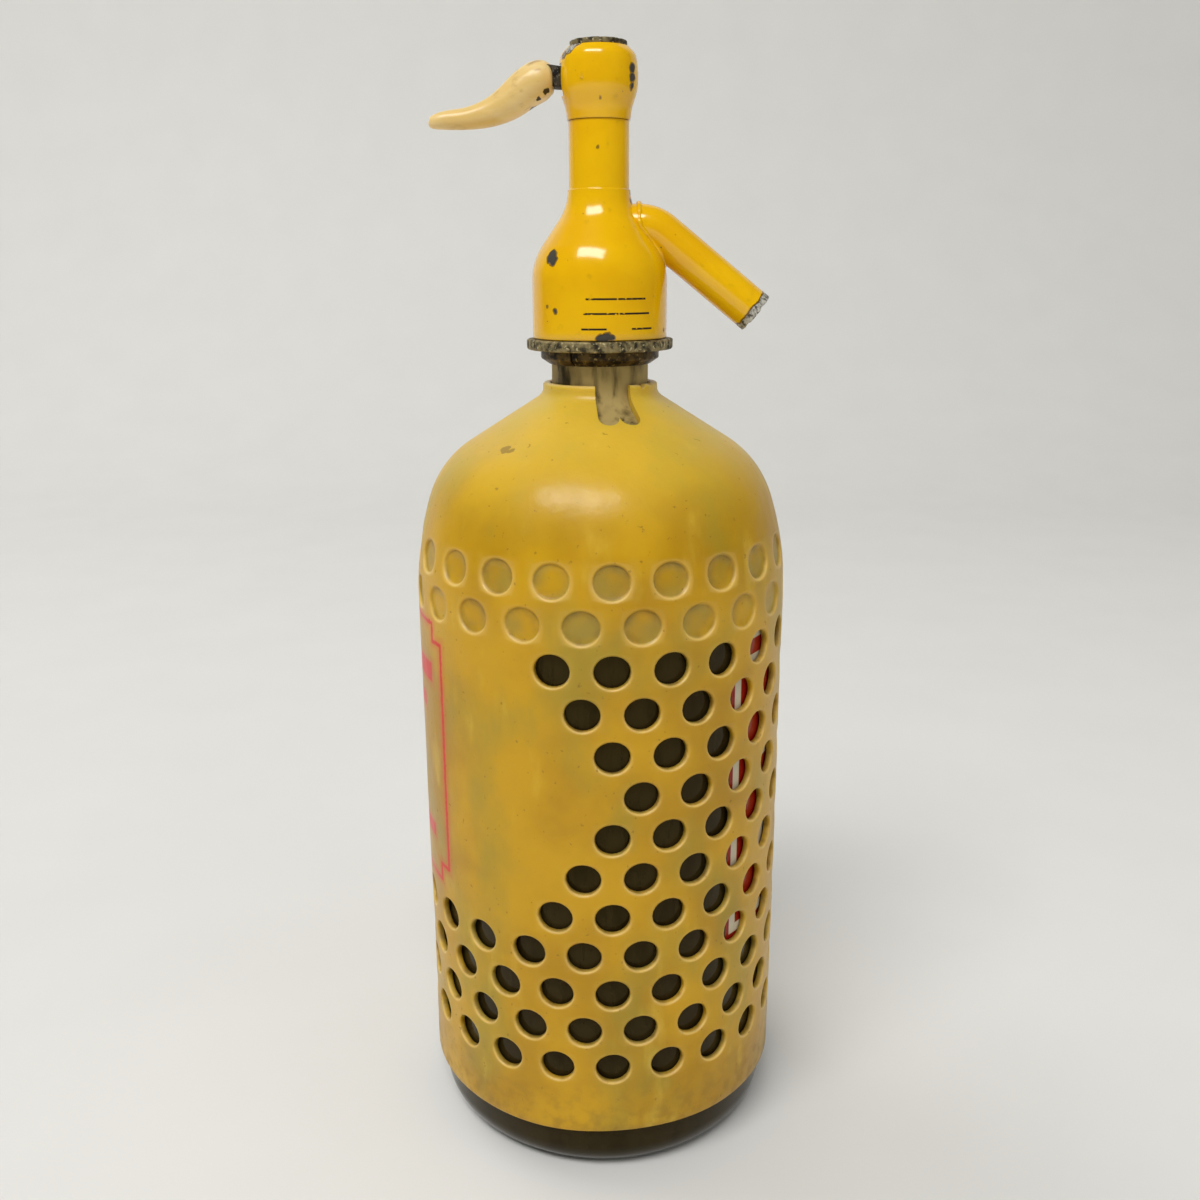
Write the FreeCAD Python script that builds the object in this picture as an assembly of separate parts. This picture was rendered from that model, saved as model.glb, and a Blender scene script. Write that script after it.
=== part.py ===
import FreeCAD, Part
import math
import os

from FreeCAD import Vector

# Soda siphon. Millimetres, +Z up. The foot stands on z = 0 and the bottle's axis is the Z axis.
# The lever points to -X and the spout to +X.

# Sleeve: a perforated plastic jacket that follows the bottle. Its shoulder leans in through a broad
# and a tight arc, each given by its radius and by its slope from the vertical where it ends.
SLEEVE_R = 52.5
SLEEVE_WALL = 2.0
SLEEVE_LOW = 15.0
SHOULDER_Z = 161.0
SHOULDER_ARCS = [(1.695 * SLEEVE_R, 18.0), (0.524 * SLEEVE_R, 57.8)]
SHOULDER_TOP_ARC = 4.0
COLLAR_R = 15.7
COLLAR_HEIGHT = 1.0

# Sleeve slots, which let the collar spring over the bottle's mouth
SLOT_AZIMUTH = 13.0
SLOT_COUNT = 2
SLOT_WIDTH = 6.6
SLOT_REACH = 9.3
SLOT_LOBE_R = 2.8

# Holes of the sleeve, in staggered rows counted from the top one down
HOLE_COLUMNS = 21
HOLE_R = 4.65
ROW_DROP = 9.1
ROW_PITCH = 11.57
FIRST_COLUMN = -14.1
ROW_COUNTS = [12, 11, 10, 9, 10, 11, 12, 21, 21, 21, 21]
PANEL_AZIMUTH = -99.8
DIMPLE_ROWS = 2
DIMPLE_R = 4.5
DIMPLE_DEPTH = 0.8

# Bottle
BOTTLE_GAP = 0.3
GLASS_WALL = 5.0
HEEL_R = 9.0
FOOT_RING_WIDTH = 4.2
PUNT_HEIGHT = 5.0
PUNT_MIDDLE = (0.6, 0.7)
BASE_THICKNESS = 7.0
BEAD_PLAY = 0.6
BEAD_HEIGHT = 5.5
BEAD_FILLET = 1.0

# Split collar that grips the bottle under its bead, and the ring that locks it
COLLAR_GAP = 0.2
FLANGE_RISE = 6.3
FLANGE_RIM = 0.3
FLANGE_HEIGHT = 2.3
FLANGE_CHAMFER = 1.6
SPIGOT_WALL = 2.3
SPIGOT_HEIGHT = 4.2
SPLIT_AZIMUTH = -28.0
SPLIT_GAP = 0.3
RING_WIDTH = 4.2
RING_HEIGHT = 2.9
RING_NOTCHES = 36
RING_NOTCH_DEPTH = 0.5
RING_NOTCH_WIDTH = 0.8
THREAD_GAP = 0.05

# Head: the bell that screws on to the split collar, and the neck above it
BELL_WALL = 2.4
BELL_GAP = 0.1
BELL_WALL_HEIGHT = 14.7
BELL_ARCS = [(17.0, 35.0)]
BELL_TOP_ARC = 14.0
BELL_TOP_R = 8.3
NECK_R = 8.0
NECK_LENGTH = 16.6
NECK_BORE_R = 5.8
GASKET_HEIGHT = 2.2
CHAMBER_R = 4.8
CHAMBER_HEIGHT = 21.0

# Inlet: the ferrule that hangs the dip tube, and the valve seat above it
INLET_R = 4.0
FERRULE_FLANGE_R = 11.0
FERRULE_FLANGE_HEIGHT = 1.0
FERRULE_R = 3.9
FERRULE_BORE_R = 2.9
FERRULE_LENGTH = 15.0
DIP_TUBE_R = 4.9
DIP_TUBE_RISE = 4.0
DIP_TUBE_SLANT = 30.0
SEAT_RISE = 4.8
SEAT_HEIGHT = 3.0
SEAT_BORE_R = 2.8
SEAT_LIP_R = 3.4
SEAT_LIP_HEIGHT = 0.6

# Valve rod and what it carries
STEM_R = 1.5
VALVE_WASHER_R = 3.9
VALVE_WASHER_HEIGHT = 2.0
STEM_FLANGE_R = 3.4
STEM_FLANGE_HEIGHT = 1.5
WASHER_NUT_R = 2.2
WASHER_NUT_HEIGHT = 1.6
PACKING_HEIGHT = 2.0
GLAND_HEIGHT = 4.0
GLAND_SLOT_WIDTH = 1.2
GLAND_SLOT_DEPTH = 1.0
STEM_GAP = 0.05
SPRING_SEAT_R = 4.6
SPRING_SEAT_HEIGHT = 1.5
SPRING_SEAT_RISE = 1.0
SPRING_WIRE_R = 0.45
SPRING_COIL_R = 3.6
SPRING_TURNS = 5
STEM_NUT_R = 3.0
STEM_NUT_HEIGHT = 2.2

# Lever housing, its cap and the pivot pin. The bulge has a radius for each share of the height.
HOUSING_HEIGHT = 17.7
HOUSING_BASE_R = 8.3
HOUSING_BULGE = [(8.8, 0.18), (10.05, 0.41), (10.3, 0.63), (9.75, 0.875)]
HOUSING_BULGE_R = 10.3
HOUSING_TOP_R = 8.0
HOUSING_SPIGOT_LENGTH = 3.7
HOUSING_FLOOR = 3.3
HOUSING_CAVITY_R = 7.0
CAP_R = 7.45
CAP_HEIGHT = 1.6
CAP_SKIRT_R = 6.4
CAP_SKIRT_WALL = 1.2
CAP_SKIRT_LENGTH = 2.4
CAP_CHAMFER = 0.4
PIVOT_X = -3.8
PIVOT_DROP = 7.9
PIN_R = 1.0
PIN_LENGTH = 19.0

# Lever: a metal arm with a forked nose under the rod's nut, and a horn-shaped grip. The grip runs
# from its neck to its tip. Each station is a share of its length, of its drop and of its thickness.
LEVER_SWING = 16.0
ARM_WIDTH = 6.0
ARM_BOSS_R = 2.2
ARM_NECK_R = 2.6
NOSE_R = 1.6
NOSE_RISE = 0.7
NOSE_PLAY = 0.2
FORK_GAP = 0.3
TANG_STATIONS = [(0.259, 0.327), (0.53, 0.782)]
TANG_RADII = [1.8, 1.2]
TANG_WIDTH = 4.0
TANG_GAP = 0.05
SLOT_GAP = 0.5
GRIP_NECK_REACH = 7.6
GRIP_NECK_RISE = 1.0
GRIP_INSET = 2.1
GRIP_LENGTH = 33.2
GRIP_DROP = 11.0
GRIP_THICKNESS = 10.0
GRIP_FLATTENING = 1.12
GRIP_STATIONS = [
    (1.0, 1.0, 0.12),
    (0.976, 1.0, 0.3),
    (0.873, 0.955, 0.46),
    (0.681, 0.909, 0.56),
    (0.509, 0.782, 0.71),
    (0.361, 0.564, 0.87),
    (0.229, 0.273, 0.98),
    (0.12, 0.091, 1.0),
    (0.039, 0.018, 0.78),
    (0.0, 0.0, 0.36),
]

# Spout
SPOUT_R = 5.65
SPOUT_WALL = 2.05
SPOUT_DROP = 5.5
SPOUT_SOCKET_X = 8.0
SPOUT_BEND_X = 14.1
SPOUT_BEND_R = 10.0
SPOUT_SLOPE = 38.9
SPOUT_RUN = 36.5


def polar(radius, degrees):
    """Return the X and Z steps of a radius turned up from the horizontal."""
    turn = math.radians(degrees)
    return radius * math.cos(turn), radius * math.sin(turn)


def shoulder_rise(radius, arcs, top_arc, top_r):
    """Return how far a shoulder rises from its turn to the end of its concave arc."""
    x = radius
    z = 0.0
    slope = 0.0
    for arc_r, end_slope in arcs:
        start_x, start_z = polar(arc_r, slope)
        end_x, end_z = polar(arc_r, end_slope)
        x += end_x - start_x
        z += end_z - start_z
        slope = end_slope
    nx, nz = polar(1.0, slope)
    run = (x - top_r - top_arc * (1 - nx)) / nz
    return z + run * nx + top_arc * nz


# Radii that follow from the sizes above
BOTTLE_INSET = SLEEVE_WALL + BOTTLE_GAP
GLASS_R = SLEEVE_R - BOTTLE_INSET
FOOT_R = GLASS_R - HEEL_R - FOOT_RING_WIDTH
GLASS_NECK_R = COLLAR_R - BOTTLE_INSET
MOUTH_R = GLASS_NECK_R - GLASS_WALL
SPLIT_BORE_R = GLASS_NECK_R + COLLAR_GAP
SPIGOT_R = SPLIT_BORE_R + SPIGOT_WALL
BEAD_R = SPIGOT_R - BEAD_PLAY
FLANGE_R = SPIGOT_R + FLANGE_RIM
RING_R = SPIGOT_R + RING_WIDTH
BELL_R = SPIGOT_R + BELL_WALL

# Heights that follow from the sizes above, with the ends of both shoulders to the nearest tenth
FLOOR_Z = PUNT_HEIGHT + BASE_THICKNESS
DIP_TUBE_END = FLOOR_Z + DIP_TUBE_RISE
ROW_TOP_Z = SHOULDER_Z - ROW_DROP
SHOULDER_TOP = round(SHOULDER_Z + shoulder_rise(SLEEVE_R, SHOULDER_ARCS, SHOULDER_TOP_ARC, COLLAR_R), 1)
COLLAR_TOP = SHOULDER_TOP + COLLAR_HEIGHT
FLANGE_LOW = COLLAR_TOP + FLANGE_RISE
FLANGE_TOP = FLANGE_LOW + FLANGE_HEIGHT
BEAD_LOW = FLANGE_TOP + SPIGOT_HEIGHT
BEAD_TOP = BEAD_LOW + BEAD_HEIGHT
BELL_LOW = FLANGE_TOP + RING_HEIGHT + BELL_GAP
BELL_TURN_Z = BELL_LOW + BELL_WALL_HEIGHT
BELL_TOP = round(BELL_TURN_Z + shoulder_rise(BELL_R, BELL_ARCS, BELL_TOP_ARC, BELL_TOP_R), 1)
NECK_TOP = BELL_TOP + NECK_LENGTH
CEILING_Z = BEAD_TOP + GASKET_HEIGHT
SEAT_LOW = CEILING_Z + SEAT_RISE
SEAT_TOP = SEAT_LOW + SEAT_HEIGHT
CHAMBER_TOP = SEAT_LOW + CHAMBER_HEIGHT
SPOUT_Z = CHAMBER_TOP - SPOUT_DROP
STEM_FLANGE_Z = SEAT_TOP + VALVE_WASHER_HEIGHT
GLAND_LOW = CHAMBER_TOP + PACKING_HEIGHT
GLAND_TOP = GLAND_LOW + GLAND_HEIGHT
SPRING_SEAT_Z = GLAND_TOP + SPRING_SEAT_RISE
SPRING_LOW = SPRING_SEAT_Z + SPRING_SEAT_HEIGHT
HOUSING_LOW = NECK_TOP - HOUSING_SPIGOT_LENGTH
HOUSING_TOP = NECK_TOP + HOUSING_HEIGHT
CAVITY_LOW = NECK_TOP + HOUSING_FLOOR
PIVOT_Z = HOUSING_TOP - PIVOT_DROP
NOSE_Z = PIVOT_Z + NOSE_RISE
STEM_NUT_Z = NOSE_Z + NOSE_R + NOSE_PLAY
STEM_TOP = STEM_NUT_Z + STEM_NUT_HEIGHT + 2 * STEM_GAP


def at(radius, height):
    """Return a point of a turned profile, which lies in the XZ plane."""
    return Vector(radius, 0, height)


def line(start, end):
    """Return a straight edge."""
    return Part.makeLine(start, end)


def arc(centre, radius, start, end):
    """Return an arc in the XZ plane, turned up from the horizontal by two angles in degrees."""
    points = []
    for degrees in (start, (start + end) / 2, end):
        dx, dz = polar(radius, degrees)
        points.append(centre + Vector(dx, 0, dz))
    return Part.Arc(*points).toShape()


def turned(edges):
    """Return the solid that a closed profile makes when it turns about the Z axis."""
    face = Part.Face(Part.Wire(Part.__sortEdges__(edges)))
    return face.revolve(Vector(0, 0, 0), Vector(0, 0, 1), 360)


def turned_outline(points):
    """Return the turned solid of a straight-sided profile given as radius and height pairs."""
    corners = [at(radius, height) for radius, height in points]
    return Part.Face(Part.makePolygon(corners + corners[:1])).revolve(
        Vector(0, 0, 0), Vector(0, 0, 1), 360
    )


def tube(outer_r, inner_r, low, high):
    """Return an upright tube."""
    return turned_outline([(inner_r, low), (outer_r, low), (outer_r, high), (inner_r, high)])


def rod(radius, low, high):
    """Return an upright cylinder."""
    return Part.makeCylinder(radius, high - low, Vector(0, 0, low))


def outward(azimuth):
    """Return the level direction at an azimuth, counted from -Y towards +X."""
    turn = math.radians(azimuth)
    return Vector(math.sin(turn), -math.cos(turn), 0)


def shoulder(radius, turn_z, arcs, top_arc, top_r, inset):
    """Return the edges of a shoulder and the point where they end.

    The shoulder rises from a wall of the given radius, leans in through convex arcs, goes on
    straight and turns up again through a concave arc into a neck. Each convex arc is given by
    its radius and by the slope from the vertical at its end. The inset moves the whole
    surface inwards.
    """
    edges = []
    centre = at(radius - arcs[0][0], turn_z)
    slope = 0.0
    last_radius = arcs[0][0]
    for arc_r, end_slope in arcs:
        dx, dz = polar(last_radius - arc_r, slope)
        centre = centre + Vector(dx, 0, dz)
        edges.append(arc(centre, arc_r - inset, slope, end_slope))
        slope = end_slope
        last_radius = arc_r
    dx, dz = polar(last_radius, slope)
    convex_end = centre + Vector(dx, 0, dz)
    nx, nz = polar(1.0, slope)
    run = (convex_end.x - top_r - top_arc * (1 - nx)) / nz
    top_centre = convex_end + Vector(-nz, 0, nx) * run + Vector(nx, 0, nz) * top_arc
    top_start = top_centre - Vector(nx, 0, nz) * (top_arc + inset)
    edges.append(line(edges[-1].Vertexes[-1].Point, top_start))
    edges.append(arc(top_centre, top_arc + inset, 180 + slope, 180))
    return edges, top_centre - Vector(top_arc + inset, 0, 0)


def sleeve_side(inset, low, high):
    """Return the edges of the sleeve's side from one height to another, moved inwards."""
    edges, top = shoulder(SLEEVE_R, SHOULDER_Z, SHOULDER_ARCS, SHOULDER_TOP_ARC, COLLAR_R, inset)
    foot = at(SLEEVE_R - inset, low)
    wall = line(foot, at(SLEEVE_R - inset, SHOULDER_Z))
    head = at(COLLAR_R - inset, high)
    return [wall] + edges + [line(top, head)], foot, head


def hole_rows():
    """Yield the height and the azimuths of each row of through holes."""
    pitch = 360.0 / HOLE_COLUMNS
    for row, count in enumerate(ROW_COUNTS):
        stagger = 0.5 * (row % 2)
        first = FIRST_COLUMN + stagger * pitch
        ring = [first + column * pitch for column in range(HOLE_COLUMNS)]
        ring.sort(key=lambda azimuth: -abs((azimuth - PANEL_AZIMUTH + 180) % 360 - 180))
        yield ROW_TOP_Z - row * ROW_PITCH, ring[:count]


def dimple_rows():
    """Yield the height and the azimuths of each row of blind dimples above the holes."""
    pitch = 360.0 / HOLE_COLUMNS
    for row in range(1, DIMPLE_ROWS + 1):
        first = FIRST_COLUMN + 0.5 * (row % 2) * pitch
        yield ROW_TOP_Z + row * ROW_PITCH, [first + column * pitch for column in range(HOLE_COLUMNS)]


def sleeve_wall_r(height):
    """Return the sleeve's outer radius at a height on the wall or on the first shoulder arc."""
    first_arc = SHOULDER_ARCS[0][0]
    rise = max(0.0, height - SHOULDER_Z)
    return SLEEVE_R - first_arc + math.sqrt(first_arc**2 - rise**2)


def sleeve_slot(azimuth):
    """Return the cutter of a slot that runs down from the collar and ends in two lobes."""
    reach = COLLAR_R + SLOT_REACH - SLOT_LOBE_R
    height = COLLAR_TOP - SHOULDER_Z
    slot = Part.makeBox(SLOT_WIDTH, reach, height, Vector(-SLOT_WIDTH / 2, -reach, SHOULDER_Z))
    for side in (-1, 1):
        lobe = Vector(side * SLOT_LOBE_R, -reach, SHOULDER_Z)
        slot = slot.fuse(Part.makeCylinder(SLOT_LOBE_R, height, lobe))
    slot.rotate(Vector(0, 0, 0), Vector(0, 0, 1), azimuth)
    return slot


def sleeve():
    """Return the perforated jacket."""
    outer, outer_foot, outer_head = sleeve_side(0.0, SLEEVE_LOW, COLLAR_TOP)
    inner, inner_foot, inner_head = sleeve_side(SLEEVE_WALL, SLEEVE_LOW, COLLAR_TOP)
    shell = turned(outer + inner + [line(outer_foot, inner_foot), line(outer_head, inner_head)])
    cutters = []
    for height, ring in hole_rows():
        for azimuth in ring:
            start = outward(azimuth) * (SLEEVE_R - 3 * SLEEVE_WALL) + Vector(0, 0, height)
            cutters.append(Part.makeCylinder(HOLE_R, 6 * SLEEVE_WALL, start, outward(azimuth)))
    for height, ring in dimple_rows():
        for azimuth in ring:
            start = outward(azimuth) * (sleeve_wall_r(height) - DIMPLE_DEPTH) + Vector(0, 0, height)
            cutters.append(Part.makeCylinder(DIMPLE_R, 3 * SLEEVE_WALL, start, outward(azimuth)))
    for number in range(SLOT_COUNT):
        cutters.append(sleeve_slot(SLOT_AZIMUTH + number * 360.0 / SLOT_COUNT))
    return shell.cut(cutters)


def bottle():
    """Return the thick glass bottle with its foot ring, punt and beaded mouth."""
    heel_centre = at(GLASS_R - HEEL_R, HEEL_R)
    outer, outer_foot, outer_neck = sleeve_side(BOTTLE_INSET, HEEL_R, BEAD_LOW)
    wall_inset = BOTTLE_INSET + GLASS_WALL
    floor_r = SLEEVE_R - wall_inset - HEEL_R
    inner, inner_foot, inner_mouth = sleeve_side(wall_inset, FLOOR_Z + HEEL_R, BEAD_TOP)
    foot_in = at(FOOT_R, 0)
    foot_out = at(GLASS_R - HEEL_R, 0)
    punt_middle = at(FOOT_R * PUNT_MIDDLE[0], PUNT_HEIGHT * PUNT_MIDDLE[1])
    punt = Part.Arc(foot_in, punt_middle, at(0, PUNT_HEIGHT)).toShape()
    edges = outer + inner
    edges.append(arc(heel_centre, HEEL_R, -90, 0))
    edges.append(line(foot_out, foot_in))
    edges.append(punt)
    edges.append(line(at(0, PUNT_HEIGHT), at(0, FLOOR_Z)))
    edges.append(line(at(0, FLOOR_Z), at(floor_r, FLOOR_Z)))
    edges.append(arc(at(floor_r, FLOOR_Z + HEEL_R), HEEL_R, -90, 0))
    edges.append(line(outer_neck, at(BEAD_R, BEAD_LOW)))
    edges.append(line(at(BEAD_R, BEAD_LOW), at(BEAD_R, BEAD_TOP - BEAD_FILLET)))
    edges.append(arc(at(BEAD_R - BEAD_FILLET, BEAD_TOP - BEAD_FILLET), BEAD_FILLET, 0, 90))
    edges.append(line(at(BEAD_R - BEAD_FILLET, BEAD_TOP), inner_mouth))
    return turned(edges)


def split_collar():
    """Return the two halves of the collar that grips the bottle under its bead."""
    whole = turned_outline([
        (SPLIT_BORE_R, FLANGE_LOW - FLANGE_CHAMFER),
        (SPLIT_BORE_R + COLLAR_GAP, FLANGE_LOW - FLANGE_CHAMFER),
        (FLANGE_R, FLANGE_LOW),
        (FLANGE_R, FLANGE_TOP),
        (SPIGOT_R, FLANGE_TOP),
        (SPIGOT_R, BEAD_LOW),
        (SPLIT_BORE_R, BEAD_LOW),
    ])
    halves = []
    size = 3 * FLANGE_R
    for side in (0, 180):
        corner = Vector(SPLIT_GAP / 2, -size / 2, FLANGE_LOW - size / 2)
        half_space = Part.makeBox(size, size, size, corner)
        half_space.rotate(Vector(0, 0, 0), Vector(0, 0, 1), SPLIT_AZIMUTH + side)
        halves.append(whole.common(half_space))
    return halves


def lock_ring():
    """Return the notched ring that screws on to the split collar."""
    top = FLANGE_TOP + RING_HEIGHT
    ring = tube(RING_R, SPIGOT_R + THREAD_GAP, FLANGE_TOP, top)
    notches = []
    for number in range(RING_NOTCHES):
        tip = at(RING_R - RING_NOTCH_DEPTH, FLANGE_TOP)
        wing = Vector(2 * RING_NOTCH_DEPTH, RING_NOTCH_WIDTH, 0)
        other = Vector(2 * RING_NOTCH_DEPTH, -RING_NOTCH_WIDTH, 0)
        wedge = Part.Face(Part.makePolygon([tip, tip + wing, tip + other, tip]))
        notch = wedge.extrude(Vector(0, 0, RING_HEIGHT))
        notch.rotate(Vector(0, 0, 0), Vector(0, 0, 1), number * 360.0 / RING_NOTCHES)
        notches.append(notch)
    return ring.cut(notches)


def spout_path():
    """Return the spout's centre line: a level stub, a bend and a straight slope."""
    turn = math.radians(SPOUT_SLOPE)
    reach = SPOUT_BEND_R * math.tan(turn / 2)
    start = at(SPOUT_SOCKET_X, SPOUT_Z)
    corner = at(SPOUT_BEND_X, SPOUT_Z)
    bend_start = corner - Vector(reach, 0, 0)
    down = Vector(math.cos(turn), 0, -math.sin(turn))
    centre = bend_start - Vector(0, 0, SPOUT_BEND_R)
    bend = arc(centre, SPOUT_BEND_R, 90, 90 - SPOUT_SLOPE)
    slope = line(corner + down * reach, corner + down * SPOUT_RUN)
    return Part.Wire([line(start, bend_start), bend, slope])


def spout_solid(radius):
    """Return a round bar of the given radius along the spout's centre line."""
    circle = Part.Wire(Part.makeCircle(radius, at(SPOUT_SOCKET_X, SPOUT_Z), Vector(1, 0, 0)))
    return spout_path().makePipeShell([circle], True, True)


def spout_tube():
    """Return the bent outlet tube."""
    return spout_solid(SPOUT_R).cut(spout_solid(SPOUT_R - SPOUT_WALL))


def head_body():
    """Return the bell with its neck, bored for the inlet, the valve, the gland and the spout."""
    bell, bell_top = shoulder(BELL_R, BELL_TURN_Z, BELL_ARCS, BELL_TOP_ARC, BELL_TOP_R, 0.0)
    foot = at(BELL_R, BELL_LOW)
    edges = [line(foot, at(BELL_R, BELL_TURN_Z))] + bell
    corners = [
        bell_top,
        at(NECK_R, bell_top.z),
        at(NECK_R, NECK_TOP),
        at(NECK_BORE_R, NECK_TOP),
        at(NECK_BORE_R, CHAMBER_TOP),
        at(CHAMBER_R, CHAMBER_TOP),
        at(CHAMBER_R, SEAT_LOW),
        at(INLET_R, SEAT_LOW),
        at(INLET_R, CEILING_Z + FERRULE_FLANGE_HEIGHT),
        at(FERRULE_FLANGE_R + THREAD_GAP, CEILING_Z + FERRULE_FLANGE_HEIGHT),
        at(FERRULE_FLANGE_R + THREAD_GAP, CEILING_Z),
        at(SPIGOT_R + BELL_GAP, CEILING_Z),
        at(SPIGOT_R + BELL_GAP, BELL_LOW),
        foot,
    ]
    for start, end in zip(corners, corners[1:]):
        edges.append(line(start, end))
    passage = Part.makeCylinder(SPOUT_R - SPOUT_WALL, SPOUT_SOCKET_X, at(0, SPOUT_Z), Vector(1, 0, 0))
    return turned(edges).cut([spout_solid(SPOUT_R), passage])


def valve_seat():
    """Return the seat ring with its raised lip."""
    base_top = SEAT_TOP - SEAT_LIP_HEIGHT
    return turned_outline([
        (SEAT_BORE_R, SEAT_LOW),
        (CHAMBER_R, SEAT_LOW),
        (CHAMBER_R, base_top),
        (SEAT_LIP_R, base_top),
        (SEAT_LIP_R, SEAT_TOP),
        (SEAT_BORE_R, SEAT_TOP),
    ])


def tube_ferrule():
    """Return the flanged ferrule that is clamped over the mouth."""
    flange = tube(FERRULE_FLANGE_R, FERRULE_BORE_R, CEILING_Z, CEILING_Z + FERRULE_FLANGE_HEIGHT)
    stub = tube(FERRULE_R, FERRULE_BORE_R, CEILING_Z - FERRULE_LENGTH, CEILING_Z)
    return flange.fuse(stub).removeSplitter()


def dip_tube():
    """Return the dip tube, cut off on the slant near the bottle's floor."""
    top = CEILING_Z - THREAD_GAP
    whole = tube(DIP_TUBE_R, FERRULE_R + THREAD_GAP, DIP_TUBE_END, top)
    size = 4 * DIP_TUBE_R
    slant = Part.makeBox(size, size, size, Vector(-size / 2, -size / 2, -size))
    slant.rotate(Vector(0, 0, 0), Vector(0, 1, 0), -DIP_TUBE_SLANT)
    slant.translate(Vector(0, 0, DIP_TUBE_END + DIP_TUBE_R * math.tan(math.radians(DIP_TUBE_SLANT))))
    return whole.cut(slant)


def valve_stem():
    """Return the valve rod with the flange that bears on the valve washer."""
    low = SEAT_TOP - WASHER_NUT_HEIGHT
    stem = rod(STEM_R, low, STEM_TOP)
    flange = rod(STEM_FLANGE_R, STEM_FLANGE_Z, STEM_FLANGE_Z + STEM_FLANGE_HEIGHT)
    return stem.fuse(flange).removeSplitter()


def gland_nut():
    """Return the slotted nut that squeezes the packing."""
    nut = tube(NECK_BORE_R - THREAD_GAP, STEM_R + STEM_GAP, GLAND_LOW, GLAND_TOP)
    size = 2 * NECK_BORE_R
    corner = Vector(-size / 2, -GLAND_SLOT_WIDTH / 2, GLAND_TOP - GLAND_SLOT_DEPTH)
    return nut.cut(Part.makeBox(size, GLAND_SLOT_WIDTH, GLAND_SLOT_DEPTH, corner))


def spring():
    """Return the coil spring between its seat on the rod and the lever housing."""
    low = SPRING_LOW + SPRING_WIRE_R
    height = HOUSING_LOW - SPRING_WIRE_R - low
    helix = Part.makeHelix(height / SPRING_TURNS, height, SPRING_COIL_R)
    helix.translate(Vector(0, 0, low))
    section = Part.Wire(Part.makeCircle(SPRING_WIRE_R, at(SPRING_COIL_R, low), Vector(0, 1, 0)))
    return Part.Wire(helix).makePipeShell([section], True, True)


def housing_slot():
    """Return the cutter of the window that the lever's arm swings in."""
    neck_x, neck_z, neck_r = arm_neck()
    edge_x = -HOUSING_BULGE_R
    along = (edge_x - PIVOT_X) / (neck_x - PIVOT_X)
    centre_z = PIVOT_Z + along * (neck_z - PIVOT_Z)
    half = ARM_BOSS_R + along * (neck_r - ARM_BOSS_R)
    swing = math.radians(LEVER_SWING)
    low_x = edge_x - PIVOT_X
    low_z = centre_z - half - PIVOT_Z
    low = PIVOT_Z + low_x * math.sin(swing) + low_z * math.cos(swing) - SLOT_GAP
    high = centre_z + half + SLOT_GAP
    width = ARM_WIDTH + 2 * SLOT_GAP
    depth = 2 * HOUSING_BULGE_R
    return Part.makeBox(depth, width, high - low, Vector(-depth, -width / 2, low))


def lever_housing():
    """Return the bulb-shaped housing that screws into the neck and holds the lever's pivot."""
    wall = Part.BSplineCurve()
    stations = [at(HOUSING_BASE_R, NECK_TOP)]
    stations += [at(radius, NECK_TOP + share * HOUSING_HEIGHT) for radius, share in HOUSING_BULGE]
    stations.append(at(HOUSING_TOP_R, HOUSING_TOP))
    wall.interpolate(stations)
    corners = [
        at(HOUSING_TOP_R, HOUSING_TOP),
        at(CAP_SKIRT_R + THREAD_GAP, HOUSING_TOP),
        at(CAP_SKIRT_R + THREAD_GAP, HOUSING_TOP - CAP_SKIRT_LENGTH),
        at(HOUSING_CAVITY_R, HOUSING_TOP - CAP_SKIRT_LENGTH),
        at(HOUSING_CAVITY_R, CAVITY_LOW),
        at(STEM_R + STEM_GAP, CAVITY_LOW),
        at(STEM_R + STEM_GAP, HOUSING_LOW),
        at(NECK_BORE_R - THREAD_GAP, HOUSING_LOW),
        at(NECK_BORE_R - THREAD_GAP, NECK_TOP),
        at(HOUSING_BASE_R, NECK_TOP),
    ]
    edges = [wall.toShape()]
    for start, end in zip(corners, corners[1:]):
        edges.append(line(start, end))
    pin_hole = Part.makeCylinder(PIN_R, 4 * BELL_R, Vector(PIVOT_X, 2 * BELL_R, PIVOT_Z), Vector(0, -1, 0))
    window = housing_slot()
    return turned(edges).cut([pin_hole, window.cut(rod(HOUSING_CAVITY_R, CAVITY_LOW, HOUSING_TOP))])


def housing_cap():
    """Return the screwed metal disc that closes the housing."""
    skirt_low = HOUSING_TOP - CAP_SKIRT_LENGTH
    top = HOUSING_TOP + CAP_HEIGHT
    return turned_outline([
        (0, HOUSING_TOP),
        (CAP_SKIRT_R - CAP_SKIRT_WALL, HOUSING_TOP),
        (CAP_SKIRT_R - CAP_SKIRT_WALL, skirt_low),
        (CAP_SKIRT_R, skirt_low),
        (CAP_SKIRT_R, HOUSING_TOP),
        (CAP_R, HOUSING_TOP),
        (CAP_R, top - CAP_CHAMFER),
        (CAP_R - CAP_CHAMFER, top),
        (0, top),
    ])


def grip_point(along, drop):
    """Return the place on the grip's middle line at a share of its length and of its drop."""
    x = PIVOT_X - GRIP_NECK_REACH - along * GRIP_LENGTH
    return x, PIVOT_Z + GRIP_NECK_RISE - drop * GRIP_DROP


def arm_neck():
    """Return the round end of the bar, inside the grip's neck, as x, z and radius."""
    x, z = grip_point(0.0, 0.0)
    return x - GRIP_INSET, z, ARM_NECK_R


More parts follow.
